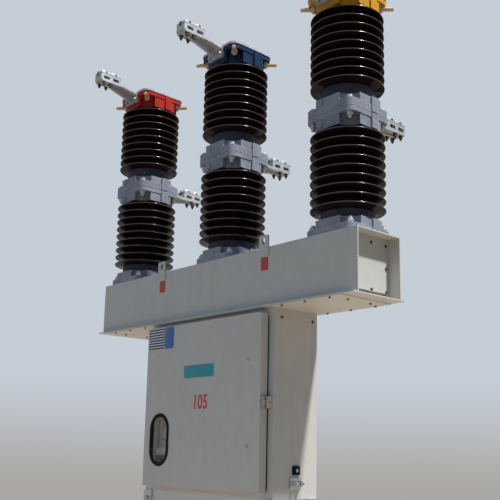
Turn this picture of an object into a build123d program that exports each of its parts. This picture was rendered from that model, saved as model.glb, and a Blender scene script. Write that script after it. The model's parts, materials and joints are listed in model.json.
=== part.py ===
"""Three-pole outdoor substation circuit breaker on its steel stand.

Millimetres, +Z up. X runs along the beam, and the cabinet door faces -Y. The origin lies on the ground,
at the centre of the four anchor holes.
"""

from build123d import *
import os
from math import atan2, cos, degrees, radians, sin

os.makedirs("parts", exist_ok=True)

# Stand
stand_height = 1410
leg_flange = 70
leg_thickness = 8
leg_outset = 1
foot_size = 200
foot_thickness = 14
anchor_inset = 50
anchor_hole_radius = 13
rail_depth = 90
rail_flange = 60
rail_thickness = 6
brace_width = 50
brace_thickness = 6
brace_foot_gap = 91
brace_rail_gap = 25
brace_end_inset = 35
brace_spacer_radius = 22

# Cabinet
cabinet_width = 1020
cabinet_depth = 295
cabinet_height = 910
cabinet_sheet = 4

# Cabinet door
door_depth = 46
door_sheet = 3
door_corner = 6
door_gap = 8
door_lap = 35
door_margin_side = 40
door_margin_low = 24
door_margin_high = 26
door_stiffener_width = 40
door_stiffener_depth = 24
door_stiffener_offset = 150
hinge_offset = 14
hinge_setback = 14
hinge_radius = 9
hinge_length = 45
hinge_count = 3
hinge_margin = 110
pin_radius = 5
pin_clearance = 0.3
hinge_seat = 0.3
hinge_leaf_width = 20
hinge_leaf_thickness = 5
latch_height = 424
latch_length = 56
latch_reach = 13
latch_inset = 5
latch_corner = 5
keeper_gap = 6
keeper_thickness = 6

# Window in the door
window_width = 134
window_length = 244
window_rim = 19
window_seat = 8
window_lip = 5
window_margin = 53
window_height = 246
glass_thickness = 4
glass_clearance = 0.5

# Mechanism behind the window
mechanism_width = 210
mechanism_depth = 190
mechanism_height = 420
mechanism_floor_gap = 90
post_radius = 17
post_spacing = 92
post_reach = 30
bracket_depth = 40
bracket_height = 60

# Earth terminal on the right side of the cabinet
earth_width = 74
earth_height = 52
earth_thickness = 8
earth_boss_radius = 15
earth_boss_length = 14
earth_boss_spacing = 38
earth_floor_gap = 46
earth_offset = -4

# Beam
beam_length = 2080
beam_width = 306
beam_height = 305
beam_sheet = 6
beam_lip = 30
end_recess = 65
access_inset = 190
access_margin = 38
cover_thickness = 4
cover_setback = 80
cover_inset = 3
panel_thickness = 4
panel_flange = 25
panel_clearance = 0.5
panel_slot = 32
lug_shift = 15
lug_width = 66
lug_rise = 62
lug_drop = 52
lug_thickness = 8
lug_hole_width = 22
lug_hole_length = 36
lug_hole_height = 32

# Poles
pole_inset = 190
pole_names = ("left", "middle", "right")
neck_radius = 128
shed_radius = 183
shed_pitch = 45.5
shed_count = 9
shed_rim = 7
shed_slope = 21
shed_undercut = 10
lower_neck = 95
upper_neck = 112
shed_gap = 2

# Castings on the poles: a square flange with a round collar and four flat pads
square_side = 300
square_corner = 45
pad_width = 150
pad_inset = 4
collar_clearance = 1
collar_wall = 10
base_thickness = 30
lower_thickness = 24
upper_thickness = 40
head_thickness = 26
lower_collar = 54
upper_collar = 40
head_collar = 66
seam_width = 3
seam_depth = 4
boss_width = 46
boss_reach = 6
boss_gap = 2
boss_slot = 8
port_radius = 16
port_reach = 6
port_offset = 45
cover_plate = 12
cover_overlap = 4

# Terminals: an arm from the casting to a level pad, with a conductor clamp on it
arm_bend = 100
arm_length = 255
arm_width = 80
arm_root_width = 120
arm_thickness = 12
top_arm_rise = 24
middle_arm_rise = -6
web_thickness = 16
web_depth = 42
root_height = 60
root_thickness = 12
clamp_reach = 190
clamp_length = 150
clamp_width = 78
clamp_corner = 10
clamp_sink = 1
clamp_slit = 3
saddle_height = 38
conductor_radius = 13
sleeve_wall = 7
cap_length = 58
cap_gap = 10
cap_width = 50
cap_height = 38
cap_corner = 24
cap_flange = 10
pocket_length = 44
pocket_height = 20
pocket_depth = 20
pocket_floor = 5
pocket_corner = 5

# Heights and places that follow from the sizes above
brace_low = foot_thickness + brace_foot_gap + brace_width / 2
brace_high = stand_height - rail_depth - brace_rail_gap - brace_width / 2
cabinet_top = stand_height + cabinet_height
beam_bottom = cabinet_top + cover_thickness
beam_top = beam_bottom + beam_height
front_face = -cabinet_depth / 2
door_back = front_face - door_gap
door_front = door_back - door_depth
door_low = stand_height + door_margin_low
door_high = cabinet_top - door_margin_high
door_width = cabinet_width - 2 * door_margin_side
door_height = door_high - door_low
door_middle = (door_low + door_high) / 2
opening_width = door_width - 2 * door_lap
opening_height = door_height - 2 * door_lap
hinge_x = -door_width / 2 - hinge_offset
hinge_y = door_back - hinge_setback
window_x = -door_width / 2 + window_margin + window_rim + window_width / 2
window_z = door_low + window_height
leg_x = cabinet_width / 2 + leg_outset + leg_thickness
leg_y = cabinet_depth / 2 - leg_outset + leg_thickness
foot_reach = foot_size / 2 - anchor_inset
anchor_x = leg_x + foot_reach
anchor_y = leg_y + foot_reach
pole_spacing = (beam_length - 2 * pole_inset) / (len(pole_names) - 1)
pole_places = [i * pole_spacing - beam_length / 2 + pole_inset for i in range(len(pole_names))]
lug_spacing = pole_spacing + lug_shift
shed_stack = (shed_count - 1) * shed_pitch + shed_rim + shed_slope
lower_seat = beam_top + base_thickness
housing_low = lower_seat + lower_neck + shed_stack + shed_gap
housing_seat = housing_low + lower_collar
seam = housing_seat + lower_thickness
upper_seat = seam + upper_thickness
housing_high = upper_seat + upper_collar
head_low = upper_seat + upper_neck + shed_stack + shed_gap
head_seat = head_low + head_collar
head_top = head_seat + head_thickness
cap_places = (-(cap_length + cap_gap) / 2, (cap_length + cap_gap) / 2)


def leg(sx, sy):
    """Angle leg at one corner, welded to its foot plate."""
    with BuildPart() as piece:
        with BuildSketch(Plane.XY.offset(foot_thickness)):
            with Locations((sx * (leg_x - leg_thickness / 2), sy * (leg_y - leg_flange / 2))):
                Rectangle(leg_thickness, leg_flange)
            with Locations((sx * (leg_x - leg_flange / 2), sy * (leg_y - leg_thickness / 2))):
                Rectangle(leg_flange, leg_thickness)
        extrude(amount=stand_height - foot_thickness)
        with BuildSketch(Plane.XY):
            with Locations((sx * leg_x, sy * leg_y)):
                Rectangle(foot_size, foot_size)
            with Locations((sx * anchor_x, sy * anchor_y)):
                Circle(anchor_hole_radius, mode=Mode.SUBTRACT)
        extrude(amount=foot_thickness)
    return piece


for side_name, sx in (("left", -1), ("right", 1)):
    for end_name, sy in (("front", -1), ("back", 1)):
        stand_leg = leg(sx, sy)
        stand_leg.part.label = f"leg_{end_name}_{side_name}"
        export_step(stand_leg.part, f"parts/leg_{end_name}_{side_name}.step")

# Ring of angle rails inside the leg tops, which carries the cabinet
frame_length = 2 * (leg_x - leg_thickness)
frame_width = 2 * (leg_y - leg_thickness)
with BuildPart() as top_frame:
    with BuildSketch(Plane.XY.offset(stand_height - rail_depth)):
        Rectangle(frame_length, frame_width)
        Rectangle(frame_length - 2 * rail_thickness, frame_width - 2 * rail_thickness, mode=Mode.SUBTRACT)
    extrude(amount=rail_depth)
    with BuildSketch(Plane.XY.offset(stand_height - rail_thickness)):
        Rectangle(frame_length, frame_width)
        Rectangle(frame_length - 2 * rail_flange, frame_width - 2 * rail_flange, mode=Mode.SUBTRACT)
    extrude(amount=rail_thickness)
top_frame.part.label = "top_frame"
export_step(top_frame.part, "parts/top_frame.step")


def cross_brace(plane):
    """Two crossed flat bars, one on each side of the leg flanges, joined by a spacer at the crossing.

    The plane lies on the outer faces of the legs, with its normal outwards and its x along the stand.
    """
    half_span = leg_x - brace_end_inset
    middle = (brace_low + brace_high) / 2
    rise = (brace_high - brace_low) / 2
    angle = degrees(atan2(rise, half_span))
    length = 2 * half_span / cos(radians(angle)) + brace_width
    with BuildPart() as piece:
        with BuildSketch(plane):
            with Locations(Location((0, middle), angle)):
                SlotOverall(length, brace_width)
        extrude(amount=brace_thickness)
        with BuildSketch(plane.offset(-leg_thickness)):
            with Locations(Location((0, middle), -angle)):
                SlotOverall(length, brace_width)
        extrude(amount=-brace_thickness)
        with BuildSketch(plane):
            with Locations((0, middle)):
                Circle(brace_spacer_radius)
        extrude(amount=-leg_thickness)
    return piece


brace_front = cross_brace(Plane(origin=(0, -leg_y, 0), x_dir=(1, 0, 0), z_dir=(0, -1, 0)))
brace_front.part.label = "brace_front"
export_step(brace_front.part, "parts/brace_front.step")

brace_back = cross_brace(Plane(origin=(0, leg_y, 0), x_dir=(-1, 0, 0), z_dir=(0, 1, 0)))
brace_back.part.label = "brace_back"
export_step(brace_back.part, "parts/brace_back.step")


def zigzag_brace(plane):
    """Two flat bars up one side of the stand, front to back and back to front, lapped on the back leg."""
    half_span = leg_y - brace_end_inset
    half_rise = (brace_high - brace_low) / 2
    angle = degrees(atan2(half_rise, 2 * half_span))
    length = half_rise / sin(radians(angle)) + brace_width
    with BuildPart() as piece:
        with BuildSketch(plane):
            with Locations(Location((0, brace_low + half_rise / 2), angle)):
                SlotOverall(length, brace_width)
            with Locations(Location((0, brace_high - half_rise / 2), -angle)):
                SlotOverall(length, brace_width)
        extrude(amount=brace_thickness)
    return piece


brace_right = zigzag_brace(Plane(origin=(leg_x, 0, 0), x_dir=(0, 1, 0), z_dir=(1, 0, 0)))
brace_right.part.label = "brace_right"
export_step(brace_right.part, "parts/brace_right.step")

brace_left = zigzag_brace(Plane(origin=(-leg_x, 0, 0), x_dir=(0, -1, 0), z_dir=(-1, 0, 0)))
brace_left.part.label = "brace_left"
export_step(brace_left.part, "parts/brace_left.step")

# Hinge knuckles stand in pairs: the lower one with its pin on the cabinet, the upper one on the door
hinge_step = (door_height - 2 * hinge_margin) / (hinge_count - 1)
hinge_heights = [door_low + hinge_margin + i * hinge_step for i in range(hinge_count)]
leaf_edge = hinge_x + hinge_radius
latch_z = door_low + latch_height
keeper_x = door_width / 2 + latch_reach + keeper_gap + keeper_thickness / 2

with BuildPart() as cabinet_shell:
    with BuildSketch(Plane.XY.offset(stand_height)):
        Rectangle(cabinet_width, cabinet_depth)
    extrude(amount=cabinet_height)
    with BuildSketch(Plane.XY.offset(stand_height + cabinet_sheet)):
        Rectangle(cabinet_width - 2 * cabinet_sheet, cabinet_depth - 2 * cabinet_sheet)
    extrude(amount=cabinet_height - 2 * cabinet_sheet, mode=Mode.SUBTRACT)
    with BuildSketch(Plane.XZ.offset(-front_face)):
        with Locations((0, door_middle)):
            Rectangle(opening_width, opening_height)
    extrude(amount=-2 * cabinet_sheet, mode=Mode.SUBTRACT)
    for z in hinge_heights:
        with BuildSketch(Plane.XY.offset(z - hinge_length)):
            with Locations((leaf_edge - hinge_leaf_width / 2, front_face - hinge_leaf_thickness / 2)):
                Rectangle(hinge_leaf_width, hinge_leaf_thickness)
            with Locations((hinge_x, (front_face + hinge_y) / 2)):
                Rectangle(hinge_radius, front_face - hinge_y)
            with Locations((hinge_x, hinge_y)):
                Circle(hinge_radius)
        extrude(amount=hinge_length)
        with BuildSketch(Plane.XY.offset(z)):
            with Locations((hinge_x, hinge_y)):
                Circle(pin_radius)
        extrude(amount=hinge_length)
    with BuildSketch(Plane.YZ.offset(keeper_x - keeper_thickness / 2)):
        with Locations((front_face - latch_length / 4, latch_z)):
            Rectangle(latch_length / 2, latch_length)
        with Locations((front_face - latch_length / 4, latch_z)):
            Circle(pin_radius, mode=Mode.SUBTRACT)
    extrude(amount=keeper_thickness)
cabinet_shell.part.label = "cabinet_shell"
export_step(cabinet_shell.part, "parts/cabinet_shell.step")

with BuildPart() as cabinet_door:
    with BuildSketch(Plane.XZ.offset(-door_back)):
        with Locations((0, door_middle)):
            RectangleRounded(door_width, door_height, door_corner)
    extrude(amount=door_depth)
    with BuildSketch(Plane.XZ.offset(-door_back)):
        with Locations((0, door_middle)):
            RectangleRounded(
                door_width - 2 * door_sheet, door_height - 2 * door_sheet, door_corner - door_sheet
            )
    extrude(amount=door_depth - door_sheet, mode=Mode.SUBTRACT)
    with BuildSketch(Plane.XZ.offset(-door_front)):
        for x in (-door_stiffener_offset, door_stiffener_offset):
            with Locations((x, door_middle)):
                Rectangle(door_stiffener_width, door_height)
    extrude(amount=-door_stiffener_depth)
    with BuildSketch(Plane.XZ.offset(-door_front)):
        with Locations(Location((window_x, window_z), 90)):
            SlotOverall(window_length + 2 * window_seat, window_width + 2 * window_seat)
    extrude(amount=-door_depth, mode=Mode.SUBTRACT)
    for z in hinge_heights:
        with BuildSketch(Plane.XY.offset(z + hinge_seat)):
            with Locations((hinge_x, hinge_y)):
                Circle(hinge_radius)
            with Locations((hinge_x + hinge_offset / 2, hinge_y - hinge_radius + hinge_leaf_thickness / 2)):
                Rectangle(hinge_offset + 2 * door_sheet, hinge_leaf_thickness)
            with Locations((hinge_x, hinge_y)):
                Circle(pin_radius + pin_clearance, mode=Mode.SUBTRACT)
        extrude(amount=hinge_length)
cabinet_door.part.label = "cabinet_door"
export_step(cabinet_door.part, "parts/cabinet_door.step")

with BuildPart() as door_latch:
    with BuildSketch(Plane.YZ.offset(door_width / 2)):
        with Locations(((door_front + door_back) / 2, latch_z)):
            RectangleRounded(door_depth - 2 * latch_inset, latch_length, latch_corner)
    extrude(amount=latch_reach)
door_latch.part.label = "door_latch"
export_step(door_latch.part, "parts/door_latch.step")

with BuildPart() as window_gasket:
    with BuildSketch(Plane.XZ.offset(-door_front)):
        with Locations(Location((window_x, window_z), 90)):
            SlotOverall(window_length + 2 * window_rim, window_width + 2 * window_rim)
    extrude(amount=window_lip)
    with BuildSketch(Plane.XZ.offset(-door_front)):
        with Locations(Location((window_x, window_z), 90)):
            SlotOverall(
                window_length + 2 * (window_seat - glass_clearance),
                window_width + 2 * (window_seat - glass_clearance),
            )
    extrude(amount=-door_sheet)
    with BuildSketch(Plane.XZ.offset(-door_front + window_lip)):
        with Locations(Location((window_x, window_z), 90)):
            SlotOverall(window_length, window_width)
    extrude(amount=-window_lip - door_sheet, mode=Mode.SUBTRACT)
window_gasket.part.label = "window_gasket"
export_step(window_gasket.part, "parts/window_gasket.step")

with BuildPart() as window_glass:
    with BuildSketch(Plane.XZ.offset(-door_front - door_sheet)):
        with Locations(Location((window_x, window_z), 90)):
            SlotOverall(window_length - 2 * glass_clearance, window_width - 2 * glass_clearance)
    extrude(amount=glass_thickness)
window_glass.part.label = "window_glass"
export_step(window_glass.part, "parts/window_glass.step")

# Mechanism unit: a housing on a bracket from the back wall, with two posts in front of it
mechanism_back = cabinet_depth / 2 - cabinet_sheet - bracket_depth
mechanism_front = mechanism_back - mechanism_depth
mechanism_z = stand_height + cabinet_sheet + mechanism_floor_gap
with BuildPart() as mechanism_unit:
    with BuildSketch(Plane.XZ.offset(-mechanism_front)):
        with Locations((window_x, mechanism_z + mechanism_height / 2)):
            Rectangle(mechanism_width, mechanism_height)
    extrude(amount=-mechanism_depth)
    with BuildSketch(Plane.XZ.offset(-mechanism_back)):
        for z in (mechanism_z + bracket_height, mechanism_z + mechanism_height - bracket_height):
            with Locations((window_x, z)):
                Rectangle(mechanism_width, bracket_height)
    extrude(amount=-bracket_depth)
    with BuildSketch(Plane.XY.offset(mechanism_z + bracket_height)):
        for x in (-post_spacing / 2, post_spacing / 2):
            with Locations((window_x + x, mechanism_front - post_reach / 2)):
                Circle(post_radius)
                Rectangle(post_radius, post_reach)
    extrude(amount=mechanism_height - bracket_height)
mechanism_unit.part.label = "mechanism_unit"
export_step(mechanism_unit.part, "parts/mechanism_unit.step")

earth_z = stand_height + earth_floor_gap + earth_height / 2
with BuildPart() as earth_terminal:
    with BuildSketch(Plane.YZ.offset(cabinet_width / 2)):
        with Locations((earth_offset, earth_z)):
            RectangleRounded(earth_width, earth_height, earth_thickness)
    extrude(amount=earth_thickness)
    with BuildSketch(Plane.YZ.offset(cabinet_width / 2 + earth_thickness)):
        for y in (-earth_boss_spacing / 2, earth_boss_spacing / 2):
            with Locations((earth_offset + y, earth_z)):
                Circle(earth_boss_radius)
    extrude(amount=earth_boss_length)
earth_terminal.part.label = "earth_terminal"
export_step(earth_terminal.part, "parts/earth_terminal.step")

# Beam: a sheet tube with outward lips along its bottom edges, open at both ends, with four lifting lugs
with BuildPart() as beam_shell:
    with BuildSketch(Plane.YZ.offset(-beam_length / 2)):
        with Locations((0, beam_bottom + beam_height / 2)):
            Rectangle(beam_width, beam_height)
        with Locations((0, beam_bottom + beam_sheet / 2)):
            Rectangle(beam_width + 2 * beam_lip, beam_sheet)
        with Locations((0, beam_bottom + beam_height / 2)):
            Rectangle(beam_width - 2 * beam_sheet, beam_height - 2 * beam_sheet, mode=Mode.SUBTRACT)
    extrude(amount=beam_length)
    with BuildSketch(Plane.XY.offset(beam_bottom)):
        Rectangle(beam_length - 2 * access_inset, beam_width - 2 * access_margin)
    extrude(amount=beam_sheet, mode=Mode.SUBTRACT)
    for y in (-beam_width / 2 - lug_thickness, beam_width / 2):
        with BuildSketch(Plane.XZ.offset(-y)):
            for x in (-lug_spacing / 2, lug_spacing / 2):
                with Locations((x, beam_top + (lug_rise - lug_drop) / 2)):
                    RectangleRounded(lug_width, lug_rise + lug_drop, lug_thickness)
                with Locations(Location((x, beam_top + lug_hole_height), 90)):
                    SlotOverall(lug_hole_length, lug_hole_width, mode=Mode.SUBTRACT)
        extrude(amount=-lug_thickness)
beam_shell.part.label = "beam_shell"
export_step(beam_shell.part, "parts/beam_shell.step")

with BuildPart() as bottom_cover:
    with BuildSketch(Plane.XY.offset(cabinet_top)):
        Rectangle(beam_length - 2 * cover_setback, beam_width + 2 * beam_lip - 2 * cover_inset)
    extrude(amount=cover_thickness)
bottom_cover.part.label = "bottom_cover"
export_step(bottom_cover.part, "parts/bottom_cover.step")

panel_width = beam_width - 2 * beam_sheet - 2 * panel_clearance
panel_height = beam_height - 2 * beam_sheet - panel_clearance - panel_slot
panel_middle = beam_top - beam_sheet - panel_clearance - panel_height / 2


def end_panel(side):
    """Folded panel that closes one end of the beam, set back from its edge."""
    face = side * (beam_length / 2 - end_recess)
    with BuildPart() as piece:
        with BuildSketch(Plane.YZ.offset(face)):
            with Locations((0, panel_middle)):
                Rectangle(panel_width, panel_height)
        extrude(amount=-side * (panel_thickness + panel_flange))
        with BuildSketch(Plane.YZ.offset(face - side * panel_thickness)):
            with Locations((0, panel_middle)):
                Rectangle(panel_width - 2 * panel_thickness, panel_height - 2 * panel_thickness)
        extrude(amount=-side * panel_flange, mode=Mode.SUBTRACT)
    return piece


for side_name, side in (("left", -1), ("right", 1)):
    panel = end_panel(side)
    panel.part.label = f"end_panel_{side_name}"
    export_step(panel.part, f"parts/end_panel_{side_name}.step")


def half_casting(x, outer_face, thickness, collar, up):
    """Adds one half casting: the flange lies on its outer face, and the collar points up (1) or down (-1)."""
    inner_face = outer_face + up * thickness
    bore = neck_radius + collar_clearance
    with BuildSketch(Plane((x, 0, outer_face))) as flange_outline:
        RectangleRounded(square_side, square_side, square_corner)
    extrude(flange_outline.sketch, amount=up * thickness)
    with BuildSketch(Plane((x, 0, inner_face))) as collar_outline:
        Circle(bore + collar_wall)
        Rectangle(square_side - 2 * pad_inset, pad_width)
        Rectangle(pad_width, square_side - 2 * pad_inset)
        Circle(bore, mode=Mode.SUBTRACT)
    extrude(collar_outline.sketch, amount=up * collar)
    for side in (-1, 1):
        with BuildSketch(Plane.YZ.offset(x + side * (square_side / 2 + boss_reach))) as boss_outline:
            with Locations((boss_gap + boss_width / 2, (outer_face + inner_face + up * collar) / 2)):
                Rectangle(boss_width, thickness + collar)
        extrude(boss_outline.sketch, amount=-side * (boss_reach + pad_inset))


def base_flange(x):
    """Casting that holds the foot of the pole on the beam."""
    with BuildPart() as piece:
        half_casting(x, beam_top, base_thickness, upper_collar, 1)
    return piece


def middle_housing(x):
    """The two castings between the insulators, bolted together at the seam, as one piece."""
    across = square_side + 2 * (boss_reach + seam_depth)
    with BuildPart() as piece:
        half_casting(x, seam, lower_thickness, lower_collar, -1)
        half_casting(x, seam, upper_thickness, upper_collar, 1)
        with BuildSketch(Plane((x, 0, seam - seam_width / 2))):
            Rectangle(across, across)
            inside = square_side - 2 * seam_depth
            RectangleRounded(inside, inside, square_corner - seam_depth, mode=Mode.SUBTRACT)
        extrude(amount=seam_width, mode=Mode.SUBTRACT)
        for side in (-1, 1):
            with BuildSketch(Plane.YZ.offset(x + side * (square_side / 2 + boss_reach))):
                with Locations((boss_gap + boss_width / 2, seam)):
                    Rectangle(boss_width, boss_slot)
            extrude(amount=-side * (boss_reach + seam_depth), mode=Mode.SUBTRACT)
        with BuildSketch(Plane.XZ.offset(square_side / 2 - pad_inset)):
            with Locations(
                (x - port_offset, (housing_low + housing_seat) / 2),
                (x - port_offset, (upper_seat + housing_high) / 2),
            ):
                Circle(port_radius)
        extrude(amount=port_reach)
    return piece


def head_casting(x):
    """Casting on top of the upper insulator, with its flange upwards."""
    with BuildPart() as piece:
        half_casting(x, head_top, head_thickness, head_collar, -1)
    return piece


def head_cover(x):
    """Flat square plate on the head casting."""
    side = square_side + 2 * cover_overlap
    with BuildPart() as piece:
        with BuildSketch(Plane((x, 0, head_top))):
            RectangleRounded(side, side, square_corner + cover_overlap)
        extrude(amount=cover_plate)
    return piece


def insulator(x, seat, neck, top):
    """Porcelain body turned about the pole: a neck, nine sheds, and a top that stands in the next casting."""
    with BuildPart() as piece:
        with BuildSketch(Plane(origin=(x, 0, 0), x_dir=(1, 0, 0), z_dir=(0, -1, 0))):
            with BuildLine():
                profile = [(0, seat), (neck_radius, seat)]
                for i in range(shed_count):
                    rim = seat + neck + i * shed_pitch
                    profile.append((neck_radius, rim - shed_undercut))
                    profile.append((shed_radius, rim))
                    profile.append((shed_radius, rim + shed_rim))
                    profile.append((neck_radius, rim + shed_rim + shed_slope))
                profile += [(neck_radius, top), (0, top)]
                Polyline(*profile, close=True)
            make_face()
        revolve(axis=Axis((x, 0, 0), (0, 0, 1)))
    return piece


def conductor_clamp(x, y, pad):
    """Split clamp on a level pad: a saddle with side pockets below the conductor, and two humped caps above it.

    The conductor runs along Y through the middle of the clamp, and the slit is on the +X side.
    """
    middle = pad + saddle_height
    with BuildPart() as piece:
        for step in cap_places:
            with BuildSketch(Plane.XZ.offset(-y - step)):
                with Locations((x, middle)):
                    RectangleRounded(cap_width, 2 * cap_height, cap_corner)
            extrude(amount=cap_length / 2, both=True)
        with BuildSketch(Plane.YZ.offset(x)):
            with Locations(*[(y + step, middle) for step in cap_places]):
                RectangleRounded(cap_length, 2 * cap_height, cap_corner)
        extrude(amount=cap_width / 2, both=True, mode=Mode.INTERSECT)
        with BuildSketch(Plane.XZ.offset(-y)):
            with Locations((x, middle)):
                Circle(conductor_radius + sleeve_wall)
        extrude(amount=clamp_length / 2, both=True)
        with BuildSketch(Plane.XY.offset(pad - clamp_sink)):
            with Locations((x, y)):
                RectangleRounded(clamp_width, clamp_length, clamp_corner)
        extrude(amount=clamp_sink + saddle_height + cap_flange)
        with BuildSketch(Plane.XZ.offset(-y)):
            with Locations((x, middle)):
                Circle(conductor_radius)
            with Locations((x + clamp_width / 4, middle)):
                Rectangle(clamp_width / 2, clamp_slit)
        extrude(amount=clamp_length / 2, both=True, mode=Mode.SUBTRACT)
        for side in (-1, 1):
            with BuildSketch(Plane.YZ.offset(x + side * clamp_width / 2)):
                with Locations(*[(y + step, pad + pocket_floor + pocket_height / 2) for step in cap_places]):
                    RectangleRounded(pocket_length, pocket_height, pocket_corner)
            extrude(amount=-side * pocket_depth, mode=Mode.SUBTRACT)
    return piece


def terminal_arm(x, side, top, pad):
    """Plate that rises or falls from the casting to the level pad, and narrows on the way."""
    wall = side * square_side / 2
    start = wall + side * root_thickness / 2
    bend = wall + side * arm_bend
    end = wall + side * arm_length
    with BuildPart() as piece:
        with BuildSketch(Plane.YZ.offset(x)):
            with BuildLine():
                Polyline(
                    (start, top),
                    (bend, pad),
                    (end, pad),
                    (end, pad - arm_thickness),
                    (bend, pad - arm_thickness),
                    (start, top - arm_thickness),
                    close=True,
                )
            make_face()
        extrude(amount=arm_root_width / 2, both=True)
        with BuildSketch(Plane.XY.offset(min(top, pad) - 2 * arm_thickness)):
            with BuildLine():
                Polyline(
                    (x - arm_root_width / 2, wall),
                    (x - arm_width / 2, bend),
                    (x - arm_width / 2, end),
                    (x + arm_width / 2, end),
                    (x + arm_width / 2, bend),
                    (x + arm_root_width / 2, wall),
                    close=True,
                )
            make_face()
        extrude(amount=abs(pad - top) + 3 * arm_thickness, mode=Mode.INTERSECT)
    return piece


def terminal(x, side, top, flange, rise):
    """Arm with a clamp on the front (side -1) or back (side 1) of a casting.

    The root plate seats on the side of the flange below the given top and, where it is deeper than the flange,
    on the pad below.
    """
    wall = side * square_side / 2
    pad = top + rise
    arm = terminal_arm(x, side, top, pad)
    clamp = conductor_clamp(x, wall + side * clamp_reach, pad)
    with BuildPart() as piece:
        with BuildSketch(Plane.YZ.offset(x)):
            with Locations((wall + side * root_thickness / 2, top - root_height / 2)):
                Rectangle(root_thickness, root_height)
            if root_height > flange:
                with Locations((wall + side * (root_thickness - pad_inset) / 2, top - (root_height + flange) / 2)):
                    Rectangle(root_thickness + pad_inset, root_height - flange)
        extrude(amount=arm_root_width / 2, both=True)
        with BuildSketch(Plane.YZ.offset(x)):
            with BuildLine():
                Polyline(
                    (wall + side * root_thickness / 2, top - arm_thickness / 2),
                    (wall + side * root_thickness / 2, top - arm_thickness - web_depth),
                    (wall + side * arm_length, pad - arm_thickness / 2),
                    (wall + side * arm_bend, pad - arm_thickness / 2),
                    close=True,
                )
            make_face()
        extrude(amount=web_thickness / 2, both=True)
        add(arm.part)
        add(clamp.part)
    return piece


for pole_name, x in zip(pole_names, pole_places):
    flange = base_flange(x)
    flange.part.label = f"base_flange_{pole_name}"
    export_step(flange.part, f"parts/base_flange_{pole_name}.step")

    lower = insulator(x, lower_seat, lower_neck, housing_seat)
    lower.part.label = f"lower_insulator_{pole_name}"
    export_step(lower.part, f"parts/lower_insulator_{pole_name}.step")

    housing = middle_housing(x)
    housing.part.label = f"middle_housing_{pole_name}"
    export_step(housing.part, f"parts/middle_housing_{pole_name}.step")

    upper = insulator(x, upper_seat, upper_neck, head_seat)
    upper.part.label = f"upper_insulator_{pole_name}"
    export_step(upper.part, f"parts/upper_insulator_{pole_name}.step")

    head = head_casting(x)
    head.part.label = f"head_casting_{pole_name}"
    export_step(head.part, f"parts/head_casting_{pole_name}.step")

    cover = head_cover(x)
    cover.part.label = f"head_cover_{pole_name}"
    export_step(cover.part, f"parts/head_cover_{pole_name}.step")

    back = terminal(x, 1, upper_seat, lower_thickness + upper_thickness, middle_arm_rise)
    back.part.label = f"middle_terminal_{pole_name}"
    export_step(back.part, f"parts/middle_terminal_{pole_name}.step")

    front = terminal(x, -1, head_top, head_thickness, top_arm_rise)
    front.part.label = f"top_terminal_{pole_name}"
    export_step(front.part, f"parts/top_terminal_{pole_name}.step")
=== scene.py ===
"""Dressing of a three-pole outdoor circuit breaker, laid out as a Blender add-on.

The packed CAD model is the fixed frame, in metres, with +Z up and the cabinet door on the -Y side. Each
operator adds one group of pieces or finishes, and the last one adds the floor, the light and the camera.
"""

import json
from math import cos, pi, radians, sin

import bpy
import numpy as np
from bpy.props import FloatProperty, FloatVectorProperty, IntProperty, PointerProperty, StringProperty
from mathutils import Matrix, Vector


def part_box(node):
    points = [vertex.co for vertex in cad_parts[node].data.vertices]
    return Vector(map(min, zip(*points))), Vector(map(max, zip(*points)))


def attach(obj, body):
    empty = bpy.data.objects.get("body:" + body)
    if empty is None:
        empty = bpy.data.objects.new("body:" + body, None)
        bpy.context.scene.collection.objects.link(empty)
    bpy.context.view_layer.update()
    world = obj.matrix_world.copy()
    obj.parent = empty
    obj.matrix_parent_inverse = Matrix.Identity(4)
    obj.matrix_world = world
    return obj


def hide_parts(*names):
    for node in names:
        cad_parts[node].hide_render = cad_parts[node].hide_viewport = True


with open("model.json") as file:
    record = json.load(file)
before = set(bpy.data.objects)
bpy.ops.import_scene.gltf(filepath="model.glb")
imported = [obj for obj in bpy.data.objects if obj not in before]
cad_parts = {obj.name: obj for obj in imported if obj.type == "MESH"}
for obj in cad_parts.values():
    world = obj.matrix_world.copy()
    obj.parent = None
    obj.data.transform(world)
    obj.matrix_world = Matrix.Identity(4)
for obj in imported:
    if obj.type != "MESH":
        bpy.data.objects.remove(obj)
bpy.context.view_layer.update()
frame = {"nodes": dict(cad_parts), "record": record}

bl_info = {
    "name": "Circuit breaker dressing",
    "version": (1, 0, 0),
    "blender": (4, 5, 0),
    "location": "3D View > Sidebar > Breaker",
    "description": "Porcelain, fasteners, door fittings and finishes of an outdoor circuit breaker",
    "category": "Object",
}

POLES = ("left", "middle", "right")
UP = (0, 0, 1)
DOWN = (0, 0, -1)
FRONT = (0, -1, 0)
RIGHT = (1, 0, 0)
# Corners of a level square of side two
SQUARE = np.array([[x, y, 0.0] for x in (-1, 1) for y in (-1, 1)])
GASKET_LIP = 0.005


# Places that follow from the CAD nodes


def corners(node):
    """Lowest and highest corner of a CAD node as two arrays."""
    low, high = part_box(node)
    return np.array(low), np.array(high)


def centre(node):
    """Middle of a CAD node's box."""
    return sum(corners(node)) / 2


def bottom(node):
    """Height of a CAD node's lowest point."""
    return corners(node)[0][2]


def top(node):
    """Height of a CAD node's highest point."""
    return corners(node)[1][2]


def pole_axes():
    """The foot of each pole's axis on the ground, from the square base flanges."""
    return {name: centre(f"base_flange_{name}") * (1, 0, 0) for name in POLES}


def door_face():
    """The y of the door's outer face, which the window's gasket stands out from."""
    return corners("window_gasket")[0][1] + GASKET_LIP


DOOR_TOP = top("cabinet_door")
DOOR_MIDDLE = centre("cabinet_door")[2]
RULED_PLATE = (DOOR_TOP - 0.123, DOOR_TOP - 0.004)


# Shapes: each is a pair of points (n, 3) and a list of face arrays, one array for each count of corners


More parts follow.
